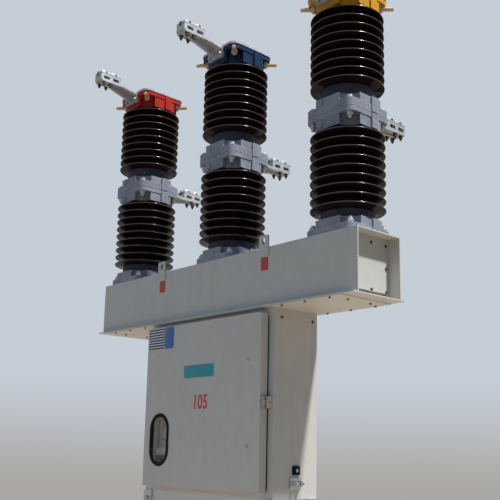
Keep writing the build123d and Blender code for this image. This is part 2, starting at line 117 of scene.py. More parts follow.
def ring_faces(rows, columns, closed=False, capped=(True, True)):
    """Faces between rings of points that are stored ring by ring.

    A closed surface joins its last ring to its first, and an open one gets a flat face on each capped end.
    """
    i = np.arange(rows if closed else rows - 1)[:, None]
    j = np.arange(columns)[None, :]
    below, above = i * columns, (i + 1) % rows * columns
    beyond = (j + 1) % columns
    faces = [np.stack([below + j, below + beyond, above + beyond, above + j], axis=-1).reshape(-1, 4)]
    ring = np.arange(columns)
    ends = [] if closed else [ring[::-1]] * capped[0] + [(rows - 1) * columns + ring] * capped[1]
    return faces + ([np.array(ends)] if ends else [])


def rings(radius, height, capped=(True, True)):
    """Rings about the z axis: point (i, j) is radius[i, j] times (cos t, sin t) at the height of row i.

    The angle t steps evenly round the circle.
    """
    radius = np.asarray(radius, float)
    angle = np.linspace(0, 2 * pi, radius.shape[1], endpoint=False)
    heights = np.broadcast_to(np.reshape(height, (-1, 1)), radius.shape)
    points = np.stack([radius * np.cos(angle), radius * np.sin(angle), heights], axis=-1)
    return points.reshape(-1, 3), ring_faces(*radius.shape, capped=capped)


def turned(profile, segments, capped=(True, True)):
    """A profile of (radius, height) pairs turned about the z axis: x is r cos t, y is r sin t and z is h."""
    profile = np.asarray(profile, float)
    return rings(np.repeat(profile[:, :1], segments, axis=1), profile[:, 1], capped)


def rounded_ring(width, height, radius, profile, per_corner=8, closed=False, capped=(True, True)):
    """A profile of (outset, rise) pairs carried round a rectangle with round corners, in the XY plane.

    Each point of the path is a corner's centre plus the corner radius times the outward direction. An outset
    adds to that radius, so every row is the same rectangle grown by its outset.
    """
    quarter = np.linspace(0, pi / 2, per_corner)
    angle = (np.arange(4)[:, None] * pi / 2 + quarter).reshape(-1)
    direction = np.stack([np.cos(angle), np.sin(angle)], axis=-1)
    sign = np.array([[1, 1], [-1, 1], [-1, -1], [1, -1]]).repeat(per_corner, axis=0)
    corner_centres = sign * (width / 2 - radius, height / 2 - radius)
    profile = np.asarray(profile, float)
    flat = corner_centres + (radius + profile[:, 0])[:, None, None] * direction
    rise = np.broadcast_to(profile[:, 1][:, None, None], flat.shape[:2] + (1,))
    points = np.concatenate([flat, rise], axis=-1).reshape(-1, 3)
    return points, ring_faces(*flat.shape[:2], closed, capped)


def plate(width, height, thickness=0.003, corner=0.004, edge=0.001):
    """Flat plate with round corners, and its front edge rounded off by a quarter circle."""
    quarter = np.linspace(0, pi / 2, 4)
    profile = [(0, 0)] + [(edge * (cos(a) - 1), thickness - edge + edge * sin(a)) for a in quarter]
    return rounded_ring(width, height, corner, profile, per_corner=6)


def hexagon(across, angle):
    """Polar radius of a hexagon: half its width across flats over the cosine of the angle to a flat."""
    return across / 2 / np.cos((angle + pi / 6) % (pi / 3) - pi / 6)


def bolt(across, head, washer=0.0, washer_thickness=0.0, stud=0.0, stud_length=0.0):
    """Hexagon head or nut on a round washer, with an optional stud end, standing on the XY plane.

    The radius of each ring is the smaller of the hexagon's and a chamfer circle, and that circle shrinks
    towards the top, which leaves the curved corners of a real hexagon head.
    """
    angle = np.linspace(0, 2 * pi, 24, endpoint=False)
    flats = hexagon(across, angle)
    point = across / 3**0.5
    rows = [(washer, 0.0), (washer, washer_thickness)] if washer else []
    for chamfer, level in ((point, 0.0), (point, 0.72), (across * 0.53, 0.9), (across * 0.475, 1.0)):
        rows.append((np.minimum(flats, chamfer), washer_thickness + head * level))
    if stud:
        base = washer_thickness + head
        end = base + stud_length
        rows += [(stud, base), (stud, end - stud * 0.25), (stud * 0.75, end)]
    return rings([radius + 0 * angle for radius, _ in rows], [height for _, height in rows])


def bead(start, end, radius, ripple_pitch=0.006, sides=10):
    """Weld bead: a circle carried along a straight line, whose radius ripples as 1 + a tenth of a sine.

    The radius also falls to nothing at both ends along a quarter of an ellipse.
    """
    start, end = np.asarray(start, float), np.asarray(end, float)
    length = np.linalg.norm(end - start)
    along = (end - start) / length
    slanted = (0.3, 0.5, 0.81)
    side = np.cross(along, slanted)
    side /= np.linalg.norm(side)
    up = np.cross(along, side)
    s = np.linspace(0, length, max(round(length / ripple_pitch * 4) - 1, 8))
    nearness = np.clip(np.minimum(s, length - s) / radius, 0, 1)
    ripple = 1 + 0.1 * np.sin(2 * pi * s / ripple_pitch)
    size = radius * ripple * np.sqrt(1 - (1 - nearness) ** 2) + radius * 0.05
    angle = np.linspace(0, 2 * pi, sides, endpoint=False)
    circle = np.cos(angle)[:, None] * side + np.sin(angle)[:, None] * up
    points = start + s[:, None, None] * along + size[:, None, None] * circle
    return points.reshape(-1, 3), ring_faces(len(s), sides)


def placed(shape, places, outward=UP, spin=0.0, across=None):
    """Copies of a shape, one at each place: its own z goes along the outward direction.

    Its x goes along the given across direction, or a level one, and is first turned by the spin about z.
    """
    points, faces = shape
    places = np.atleast_2d(np.asarray(places, float))
    out = np.broadcast_to(np.asarray(outward, float), places.shape)
    out = out / np.linalg.norm(out, axis=1, keepdims=True)
    if across is None:
        upright = np.abs(out[:, 2:]) > 0.9
        side = np.cross(np.where(upright, [[0.0, 1.0, 0.0]], [[0.0, 0.0, 1.0]]), out)
    else:
        side = np.broadcast_to(np.asarray(across, float), places.shape)
    side = side / np.linalg.norm(side, axis=1, keepdims=True)
    up = np.cross(out, side)
    x = points[:, :1] * cos(spin) - points[:, 1:2] * sin(spin)
    y = points[:, :1] * sin(spin) + points[:, 1:2] * cos(spin)
    copies = places[:, None] + x * side[:, None] + y * up[:, None] + points[:, 2:] * out[:, None]
    shift = (np.arange(len(places)) * len(points))[:, None, None]
    return copies.reshape(-1, 3), [(f[None] + shift).reshape(-1, f.shape[1]) for f in faces]


def together(*shapes):
    """Several shapes as one."""
    shift = np.cumsum([0] + [len(points) for points, _ in shapes[:-1]])
    faces = [f + s for (_, group), s in zip(shapes, shift) for f in group]
    return np.concatenate([points for points, _ in shapes]), faces


def shifted(shape, by):
    """A shape moved by a vector."""
    points, faces = shape
    return points + by, faces


def build_mesh(name, shape):
    """Smooth mesh of a shape, filled from whole arrays."""
    points, faces = shape
    loops = np.concatenate([f.reshape(-1) for f in faces]).astype(np.int32)
    counts = np.concatenate([np.full(len(f), f.shape[1]) for f in faces])
    starts = np.concatenate([[0], np.cumsum(counts)[:-1]]).astype(np.int32)
    mesh = bpy.data.meshes.new(name)
    mesh.vertices.add(len(points))
    mesh.vertices.foreach_set("co", points.astype(np.float32).reshape(-1))
    mesh.loops.add(len(loops))
    mesh.loops.foreach_set("vertex_index", loops)
    mesh.polygons.add(len(starts))
    mesh.polygons.foreach_set("loop_start", starts)
    mesh.update(calc_edges=True)
    mesh.validate()
    mesh.shade_smooth()
    return mesh


def add_object(name, data):
    """New object in the scene, at the origin."""
    thing = bpy.data.objects.new(name, data)
    bpy.context.scene.collection.objects.link(thing)
    return thing


def dress(name, mesh, material, body):
    """Gives a mesh its finish and makes it a piece that rides on a CAD body."""
    mesh.materials.append(finish(material))
    piece = add_object(name, mesh)
    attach(piece, body)
    return piece


def make_piece(name, shape, material, body="breaker", sharp=35, mask=None):
    """Piece from a shape, riding on a CAD body. A mask is a value for each point."""
    mesh = build_mesh(name, shape)
    mesh.set_sharp_from_angle(angle=radians(sharp))
    if mask is not None:
        layer = mesh.attributes.new("mask", "FLOAT", "POINT")
        layer.data.foreach_set("value", np.asarray(mask, np.float32))
    return dress(name, mesh, material, body)


# Shader nodes


def fill(tree, socket, value):
    """Gives an input a value, with full alpha for a plain colour, or links it from an output."""
    if isinstance(value, bpy.types.NodeSocket):
        tree.links.new(value, socket)
    elif socket.type == "RGBA" and len(value) == 3:
        socket.default_value = (*value, 1.0)
    else:
        socket.default_value = value


def feed(tree, node, **inputs):
    """Fills a node's inputs by name."""
    for key, value in inputs.items():
        fill(tree, node.inputs[key.replace("_", " ")], value)


def put(tree, kind, at, options=None, values=(), **inputs):
    """New node at a place in the tree; its inputs are filled in order from the values, or by name."""
    node = tree.nodes.new(kind)
    node.location = (at[0] * 200, at[1] * 200)
    for key, value in (options or {}).items():
        setattr(node, key, value)
    for socket, value in zip(node.inputs, values):
        fill(tree, socket, value)
    feed(tree, node, **inputs)
    return node


def first_of(tree, kind):
    """The tree's first node of a kind."""
    return next(node for node in tree.nodes if node.type == kind)


def calculate(tree, at, operation, *values, clamp=False):
    """Math node; returns its output."""
    return put(tree, "ShaderNodeMath", at, {"operation": operation, "use_clamp": clamp}, values).outputs[0]


def scaled(tree, at, value, times, plus, clamp=False):
    """A value times one number plus another; returns its output."""
    return calculate(tree, at, "MULTIPLY_ADD", value, times, plus, clamp=clamp)


def ramp(tree, at, value, low, high, to_low=0.0, to_high=1.0):
    """Smooth step of a value from one range to another; returns its output."""
    values = (value, low, high, to_low, to_high)
    return put(tree, "ShaderNodeMapRange", at, {"interpolation_type": "SMOOTHSTEP"}, values).outputs[0]


def blend(tree, at, factor, first, second):
    """Mix of two colours; returns its output."""
    node = put(tree, "ShaderNodeMix", at, {"data_type": "RGBA"})
    for index, value in ((0, factor), (6, first), (7, second)):
        fill(tree, node.inputs[index], value)
    return node.outputs[2]


def object_place(tree, at):
    """Object coordinates."""
    return put(tree, "ShaderNodeTexCoord", at).outputs["Object"]


def height_of(tree, at, direction):
    """The z part of a vector."""
    return put(tree, "ShaderNodeSeparateXYZ", at, Vector=direction).outputs[2]


def noise(tree, at, scale, detail=3.0, roughness=0.55, stretch=None):
    """Noise on Object coordinates, which may be stretched; returns its value output."""
    place = object_place(tree, (at[0] - 3, at[1]))
    if stretch:
        place = put(tree, "ShaderNodeMapping", (at[0] - 2, at[1]), Vector=place, Scale=stretch).outputs[0]
    values = {"Vector": place, "Scale": scale, "Detail": detail, "Roughness": roughness}
    return put(tree, "ShaderNodeTexNoise", at, **values).outputs[0]


# Shared effects: each builds its nodes in a shader group from the given inputs, and returns an output


def edge_wear(tree, given):
    """Mask of worn edges: where a rounded normal leaves the true one, broken up by noise."""
    soft = put(tree, "ShaderNodeBevel", (-4, 1), {"samples": 4}, Radius=given["Radius"]).outputs[0]
    true = put(tree, "ShaderNodeNewGeometry", (-4, -1)).outputs["True Normal"]
    turn = put(tree, "ShaderNodeVectorMath", (-3, 0), {"operation": "DOT_PRODUCT"}, (soft, true))
    edge = ramp(tree, (-2, 0), turn.outputs["Value"], 0.99, 0.8)
    chips = noise(tree, (-1, -2), given["Scale"], 5.0, 0.65)
    worn = calculate(tree, (0, 0), "MULTIPLY", edge, chips)
    half = calculate(tree, (-1, -1), "MULTIPLY", given["Amount"], 0.5)
    limit = calculate(tree, (0, -1), "SUBTRACT", 0.75, half)
    return ramp(tree, (2, 0), worn, limit, calculate(tree, (1, -1), "ADD", limit, 0.12))


def grain(tree, given):
    """Height of a fine surface texture: coarse noise with finer noise on it."""
    coarse = noise(tree, (-2, 1), given["Scale"], 2.0)
    fine = noise(tree, (-2, -1), calculate(tree, (-5, -1), "MULTIPLY", given["Scale"], 4.3), 3.0)
    return scaled(tree, (1, 0), fine, given["Fine"], coarse)


def settled_dust(tree, given):
    """Mask of settled dust: strong on faces that look up, thin and cloudy elsewhere."""
    normal = put(tree, "ShaderNodeNewGeometry", (-4, 1)).outputs["Normal"]
    flat = ramp(tree, (-2, 1), height_of(tree, (-3, 1), normal), 0.1, 0.95, 0.12, 1.0)
    cloud = ramp(tree, (-1, -1), noise(tree, (-2, -1), given["Scale"], 5.0, 0.6), 0.35, 0.75)
    mask = calculate(tree, (0, 0), "MULTIPLY", flat, scaled(tree, (0, -1), cloud, 0.75, 0.25))
    return calculate(tree, (1, 0), "MULTIPLY", mask, given["Amount"], clamp=True)


def rain_streaks(tree, given):
    """Mask of rain streaks: noise that is narrow across and long in height, on upright faces only."""
    normal = put(tree, "ShaderNodeNewGeometry", (-4, 1)).outputs["Normal"]
    slope = calculate(tree, (-2, 1), "ABSOLUTE", height_of(tree, (-3, 1), normal))
    upright = ramp(tree, (-1, 1), slope, 0.5, 0.2)
    narrow = ramp(tree, (-1, 0), noise(tree, (-2, 0), given["Scale"], 4.0, 0.6, (1, 1, 0.05)), 0.48, 0.78)
    patches = ramp(tree, (-1, -1), noise(tree, (-2, -1), 2.2, 3.0, 0.5, (1, 1, 0.6)), 0.4, 0.65)
    mask = calculate(tree, (0, 0), "MULTIPLY", calculate(tree, (0, 1), "MULTIPLY", narrow, patches), upright)
    return calculate(tree, (1, 0), "MULTIPLY", mask, given["Amount"], clamp=True)


def colour_drift(tree, given):
    """A colour that drifts: two sizes of noise make it a little lighter and darker from place to place."""
    large = noise(tree, (-2, 1), given["Scale"], 4.0, 0.6)
    small = noise(tree, (-2, -1), calculate(tree, (-5, -1), "MULTIPLY", given["Scale"], 9.0), 3.0, 0.6)
    both = calculate(tree, (-1, 0), "ADD", large, small)
    spread = calculate(tree, (-1, -2), "MULTIPLY", given["Spread"], 2.0)
    bright = scaled(tree, (1, 0), calculate(tree, (0, 1), "SUBTRACT", both, 1.0), spread, 1.0)
    options = {"operation": "SCALE"}
    return put(tree, "ShaderNodeVectorMath", (2, 0), options, (given["Color"],), Scale=bright).outputs[0]


def zinc_crystals(tree, given):
    """Crystals of a zinc coating: cells with a random value each."""
    place = object_place(tree, (-5, 0))
    cells = put(tree, "ShaderNodeTexVoronoi", (-3, 0), Vector=place, Scale=given["Scale"]).outputs["Color"]
    return put(tree, "ShaderNodeSeparateColor", (-2, 0), Color=cells).outputs[0]


GREY = (0.5, 0.5, 0.5, 1.0)

GROUPS = {
    "Edge Wear": (edge_wear, "Mask", {"Radius": 0.003, "Amount": 0.5, "Scale": 40.0}),
    "Grain": (grain, "Height", {"Scale": 200.0, "Fine": 0.4}),
    "Settled Dust": (settled_dust, "Mask", {"Amount": 0.5, "Scale": 6.0}),
    "Rain Streaks": (rain_streaks, "Mask", {"Amount": 0.5, "Scale": 22.0}),
    "Colour Drift": (colour_drift, "Color", {"Color": GREY, "Spread": 0.1, "Scale": 3.0}),
    "Zinc Crystals": (zinc_crystals, "Value", {"Scale": 90.0}),
}


def build_group(name):
    """Shader group of a shared effect, with its named inputs and its one output."""
    build, output, inputs = GROUPS[name]
    tree = bpy.data.node_groups.new(name, "ShaderNodeTree")
    for label, value in inputs.items():
        kind = "NodeSocketColor" if label == "Color" else "NodeSocketFloat"
        tree.interface.new_socket(name=label, in_out="INPUT", socket_type=kind).default_value = value
    kind = "NodeSocketColor" if output == "Color" else "NodeSocketFloat"
    tree.interface.new_socket(name=output, in_out="OUTPUT", socket_type=kind)
    end = put(tree, "NodeGroupOutput", (6, 0))
    feed(tree, end, **{output: build(tree, put(tree, "NodeGroupInput", (-6, 0)).outputs)})
    return tree


def use(tree, name, at, **inputs):
    """Places a shared effect in a material, with its own values; returns its output."""
    effect = bpy.data.node_groups.get(name) or build_group(name)
    return put(tree, "ShaderNodeGroup", at, {"node_tree": effect}, **inputs).outputs[0]


# Materials


DUST = (0.42, 0.37, 0.29)
STAIN = (0.20, 0.165, 0.12)


def surface(name, **inputs):
    """New material with one Principled shader; returns it, its tree and the shader."""
    material = bpy.data.materials.new(name)
    material.use_nodes = True
    shader = first_of(material.node_tree, "BSDF_PRINCIPLED")
    feed(material.node_tree, shader, **inputs)
    return material, material.node_tree, shader


def coats(tree, shader, tone, *layers):
    """Lays colours over a tone, each by its mask, and gives the result to the shader."""
    for step, (mask, colour) in enumerate(layers):
        tone = blend(tree, (step - 6, 3 - step), mask, tone, colour)
    feed(tree, shader, Base_Color=tone)


def emboss(tree, shader, height, depth):
    """Feeds the shader's normal from a height, with the depth in metres."""
    bump = put(tree, "ShaderNodeBump", (-2, -3), Height=height, Distance=depth, Strength=1.0)
    feed(tree, shader, Normal=bump.outputs[0])


def tinted(colour, share, most=1.0):
    """A colour made lighter or darker."""
    return tuple(min(part * share, most) for part in colour)


def painted(
    name, colour, under, wear=0.4, dust=0.35, streaks=0.4, gloss=0.42, spread=0.16, drift=2.4, shine=0.5
):
    """Sprayed paint on steel: drifting colour, rain streaks, dust, and edges worn to what lies under it."""
    material, tree, shader = surface(name, Specular_IOR_Level=shine)
    worn = use(tree, "Edge Wear", (-8, 0), Radius=0.004, Amount=wear, Scale=45.0)
    dusty = use(tree, "Settled Dust", (-8, 1), Amount=dust, Scale=5.0)
    streaky = use(tree, "Rain Streaks", (-8, 2), Amount=streaks, Scale=24.0)
    tone = use(tree, "Colour Drift", (-8, 3), Color=colour, Spread=spread, Scale=drift)
    coats(tree, shader, tone, (streaky, STAIN), (dusty, DUST), (worn, under))
    rough = scaled(tree, (-5, -1), dusty, 0.35, gloss)
    feed(tree, shader, Roughness=scaled(tree, (-4, -1), worn, 0.2, rough, clamp=True))
    skin = use(tree, "Grain", (-6, -3), Scale=260.0, Fine=0.3)
    emboss(tree, shader, scaled(tree, (-4, -3), worn, -0.9, skin), 0.00025)
    return material


def cast_metal(
    name,
    colour,
    coarseness=600.0,
    depth=0.0002,
    metallic=0.5,
    rough=0.5,
    dust=0.3,
    wear=0.5,
    edge=0.005,
    shine=0.5,
):
    """Sand-cast aluminium: a coarse skin with darker oxide patches, brighter on its worn edges."""
    material, tree, shader = surface(name, Specular_IOR_Level=shine)
    skin = use(tree, "Grain", (-8, -3), Scale=coarseness, Fine=0.6)
    worn = use(tree, "Edge Wear", (-8, 0), Radius=edge, Amount=wear, Scale=60.0)
    dusty = use(tree, "Settled Dust", (-8, 1), Amount=dust, Scale=9.0)
    streaky = use(tree, "Rain Streaks", (-8, 2), Amount=0.35, Scale=40.0)
    tone = use(tree, "Colour Drift", (-8, 3), Color=colour, Spread=0.5, Scale=9.0)
    dark, bright = tinted(colour, 0.45), tinted(colour, 1.7, 0.85)
    coats(tree, shader, tone, (streaky, dark), (dusty, DUST), (worn, bright))
    feed(
        tree,
        shader,
        Metallic=scaled(tree, (-5, 0), dusty, -metallic, metallic, clamp=True),
        Roughness=scaled(tree, (-4, -1), skin, 0.16, rough - 0.1, clamp=True),
    )
    emboss(tree, shader, skin, depth)
    return material


def galvanised(name, colour):
    """Hot-dip zinc: crystals of slightly different greys, dull bloom, and brown stain where water runs."""
    material, tree, shader = surface(name)
    crystals = use(tree, "Zinc Crystals", (-8, -1), Scale=110.0)
    dusty = use(tree, "Settled Dust", (-8, 1), Amount=0.55, Scale=7.0)
    streaky = use(tree, "Rain Streaks", (-8, 2), Amount=0.55, Scale=30.0)
    tone = use(tree, "Colour Drift", (-8, 3), Color=colour, Spread=0.4, Scale=5.0)
    light = calculate(tree, (-6, -1), "MULTIPLY", crystals, 0.5)
    coats(tree, shader, tone, (light, tinted(colour, 1.5)), (streaky, STAIN), (dusty, DUST))
    feed(
        tree,
        shader,
        Metallic=scaled(tree, (-4, 0), dusty, -0.6, 0.6, clamp=True),
        Roughness=scaled(tree, (-4, -1), crystals, 0.22, 0.38),
    )
    emboss(tree, shader, use(tree, "Grain", (-6, -3), Scale=180.0, Fine=0.3), 0.0004)
    return material


def glaze(name, colour, rim_and_sheen_colour):
    """Glossy brown glaze with dust on top of each shed; the redder rim line is partly thinner glaze, partly
    painted sheen.
    """
    gloss = {"Specular_IOR_Level": 0.05, "Coat_Roughness": 0.2, "Coat_IOR": 1.85}
    material, tree, shader = surface(name, **gloss)
    rim = put(tree, "ShaderNodeAttribute", (-8, 0), {"attribute_name": "mask"}).outputs["Fac"]
    patchy = ramp(tree, (-7, -1), noise(tree, (-8, -1), 30.0, 4.0), 0.25, 0.7, 0.55, 1.0)
    thin_glaze_and_sheen = calculate(tree, (-6, 0), "MULTIPLY", rim, patchy, clamp=True)
    dusty = use(tree, "Settled Dust", (-8, 1), Amount=0.07, Scale=9.0)
    streaky = use(tree, "Rain Streaks", (-8, 2), Amount=0.06, Scale=34.0)
    tone = use(tree, "Colour Drift", (-8, 3), Color=colour, Spread=0.5, Scale=8.0)
    # The rim colour is partly thinner glaze and partly a painted sheen along each rim.
    coats(tree, shader, tone, (thin_glaze_and_sheen, rim_and_sheen_colour), (streaky, tinted(DUST, 0.35)), (dusty, DUST))
    rough = scaled(tree, (-5, -1), rim, 0.26, 0.09)
    feed(tree, shader, Coat_Weight=rim, Roughness=scaled(tree, (-4, -1), dusty, 0.9, rough, clamp=True))
    emboss(tree, shader, use(tree, "Grain", (-6, -3), Scale=55.0, Fine=0.1), 0.00012)
    return material


def rubber(name, colour):
    """Matt black rubber with grey bloom and dust."""
    material, tree, shader = surface(name, Specular_IOR_Level=0.12)
    dusty = use(tree, "Settled Dust", (-6, 1), Amount=0.08, Scale=20.0)
    tone = use(tree, "Colour Drift", (-6, 3), Color=colour, Spread=0.7, Scale=30.0)
    coats(tree, shader, tone, (dusty, DUST))
    feed(tree, shader, Roughness=scaled(tree, (-4, 0), dusty, 0.3, 0.62, clamp=True))
    emboss(tree, shader, use(tree, "Grain", (-6, -3), Scale=700.0, Fine=0.5), 0.0002)
    return material


def clear_glass(name, colour):
    """Clear pane with smears and a little dust, which lets the light through to what is behind it."""
    material, tree, shader = surface(name, Transmission_Weight=1.0, IOR=1.45, Metallic=0.0)
    dusty = use(tree, "Settled Dust", (-6, 1), Amount=0.2, Scale=14.0)
    coats(tree, shader, colour, (dusty, DUST))
    smear = ramp(tree, (-5, -1), noise(tree, (-6, -1), 26.0, 5.0, 0.6, (1, 1, 0.4)), 0.45, 0.8, 0.0, 0.05)
    shadow = put(tree, "ShaderNodeLightPath", (-6, -3)).outputs["Is Shadow Ray"]
    feed(tree, shader, Roughness=smear, Alpha=scaled(tree, (-4, -3), shadow, -0.10, 0.15))
    return material


def striped(name, colour, dark, low, high, count):
    """Plain ruled plate: even bands across its height, from Object coordinates, on a faded ground."""
    material, tree, shader = surface(name)
    height = height_of(tree, (-8, 0), object_place(tree, (-9, 0)))
    turn = scaled(tree, (-7, 0), height, count / (high - low), -low * count / (high - low))
    stripe = ramp(tree, (-5, 0), calculate(tree, (-6, 0), "PINGPONG", turn, 0.5), 0.17, 0.25)
    ground = use(tree, "Colour Drift", (-6, 2), Color=colour, Spread=0.15, Scale=12.0)
    dusty = use(tree, "Settled Dust", (-5, 3), Amount=0.15, Scale=12.0)
    coats(tree, shader, ground, (stripe, dark), (dusty, DUST))
    feed(tree, shader, Roughness=scaled(tree, (-3, -1), dusty, 0.4, 0.4, clamp=True))
    emboss(tree, shader, use(tree, "Grain", (-6, -3), Scale=400.0, Fine=0.3), 0.0001)
    return material


# Sizes and colours


def length(name, description, default):
    """A length setting, in metres."""
    return FloatProperty(
        name=name,
        description=description,
        default=default,
        subtype="DISTANCE",
        unit="LENGTH",
        precision=4,
        min=0.0,
    )


def colour(name, description, default):
    """A colour setting, in linear values."""
    return FloatVectorProperty(
        name=name, description=description, default=default, subtype="COLOR", min=0.0, max=1.0
    )


class InsulatorSizes(bpy.types.PropertyGroup):
    """Porcelain bodies and the fluted bands at their feet."""

    sheds: IntProperty(name="Sheds", description="Sheds on each porcelain body", default=9, min=1, max=30)
    pitch: length("Shed pitch", "Height from one shed to the next", 0.0455)
    neck_radius: length("Neck radius", "Radius of the porcelain between the sheds", 0.128)
    lower_neck: length("Lower neck", "Plain height below the first shed of the lower body", 0.095)
    upper_neck: length("Upper neck", "Plain height below the first shed of the upper body", 0.112)
    rim: length("Rim thickness", "Thickness of a shed at its rim", 0.007)
    slope: length("Shed slope", "Rise of a shed's top from the rim to the neck", 0.021)
    undercut: length("Undercut", "Drop of a shed's underside from the rim to the neck", 0.010)
    segments: IntProperty(
        name="Segments", description="Faces round the porcelain", default=96, min=24, max=256
    )
    flutes: IntProperty(name="Flutes", description="Flutes round a neck band", default=48, min=8, max=96)
    flute_depth: length("Flute depth", "Depth of a flute in the neck band", 0.0022)


class FastenerSizes(bpy.types.PropertyGroup):
    """Bolts, nuts and washers."""

    casting_across: length("Casting nuts", "Width across flats of the nuts on the castings", 0.030)
    casting_inset: length("Casting bolt place", "Distance from the pole's axis, in x and y", 0.118)
    stud_reach: length("Stud reach", "Reach of the studs at the head's corners, from the pole's axis", 0.234)
    terminal_across: length("Terminal bolts", "Width across flats of the bolts on the terminals", 0.019)
    cap_across: length("Cap bolts", "Width across flats of the bolts on the clamp caps", 0.013)
    panel_across: length("Panel bolts", "Width across flats of the bolts on panels and covers", 0.010)
    stand_across: length("Stand bolts", "Width across flats of the bolts on the stand", 0.024)


class Colours(bpy.types.PropertyGroup):
    """Colours of the finishes, as linear values."""

    cabinet: colour("Cabinet paint", "Light grey-beige paint of the cabinet and beam", (0.62, 0.60, 0.555))
    glaze: colour("Glaze", "Brown glaze of the porcelain", (0.017, 0.0070, 0.0080))
    # Rim colour: partly glaze that thins at the rims, partly a painted sheen along them.
    glaze_rim: colour("Glaze at the rims", "Thinner and redder glaze at the rims", (0.062, 0.022, 0.018))
    # The castings' own grey, with a blue tint that is a painted reflection of the sky.
    casting: colour("Castings", "Cast aluminium skin of the pole castings", (0.28, 0.30, 0.355))
    # The bands' dark bluish tone is painted shade from the lowest shed above and a painted reflection of the
    # sky.
    band: colour("Neck bands", "Dark fluted bands", (0.045, 0.05, 0.075))
    bare: colour("Bare aluminium", "Terminals and head covers", (0.52, 0.53, 0.55))
    zinc: colour("Zinc", "Galvanised stand", (0.36, 0.345, 0.31))
    red: colour("Red", "Head casting of the left pole", (0.50, 0.022, 0.016))
    blue: colour("Blue", "Head casting of the middle pole", (0.0025, 0.022, 0.075))
    yellow: colour("Yellow", "Head casting of the right pole", (0.76, 0.37, 0.010))
    name_plate: colour("Wide plate", "Bare plate on the door", (0.010, 0.33, 0.40))
    number: colour("Number", "Number on the door", (0.62, 0.028, 0.018))


class DoorFittings(bpy.types.PropertyGroup):
    """What is on the door."""

    number: StringProperty(name="Number", description="Plain number on the door", default="105")
    number_height: length("Number height", "Height of the figures", 0.070)


class MechanismSizes(bpy.types.PropertyGroup):
    """What shows through the window."""

    posts_reach: length("Posts", "Reach of the posts in front of the mechanism's housing", 0.032)
    ledge_height: length("Ledge height", "Height of the ledge from the ground", 1.598)
    ledge_width: length("Ledge width", "Width of the ledge", 0.185)
    ledge_depth: length("Ledge depth", "Reach of the ledge from the housing", 0.050)


class StageSettings(bpy.types.PropertyGroup):
    """Floor, light and camera."""

    sun: FloatProperty(name="Main light", description="Strength of the main light", default=4.4, min=0.0)
    sun_from: FloatVectorProperty(
        name="Main light from",
        description="Direction towards the main light",
        default=(0.490, 0.155, 0.858),
        subtype="DIRECTION",
    )
    sky: FloatProperty(
        name="Fill light", description="Strength of the light from all round", default=0.43, min=0.0
    )
    sky_side: FloatProperty(
        name="Fill on the lit side",
        description="Share of the fill light that comes from the main light's side",
        default=0.5,
        min=0.0,
        max=1.0,
    )
    backdrop: colour("Backdrop", "Colour behind the object, above the horizon", (0.56, 0.61, 0.68))
    ground: colour("Ground glow", "Colour of the surroundings below the horizon", (0.40, 0.385, 0.36))
    sky_colour: colour("Sky", "Colour of the fill light from above the horizon", (0.45, 0.68, 1.0))
    floor: colour("Floor", "Colour of the floor", (0.55, 0.445, 0.33))


def sizes(group):
    """One of the groups of settings, from the scene."""
    return getattr(bpy.context.scene, group)


def shade(name):
    """A colour setting as a plain tuple."""
    return tuple(getattr(sizes("breaker_colours"), name))


# Finishes


def finish(name):
    """The material of a finish, made when it is first asked for."""
    made = bpy.data.materials.get(name)
    if made:
        return made
    build, colours, options = FINISHES[name]
    return build(name, *[shade(c) if isinstance(c, str) else c for c in colours], **options)


def recipe(build, *colours, **options):
    """How a finish is made: each colour is a value, or the name of the setting that holds it."""
    return build, colours, options


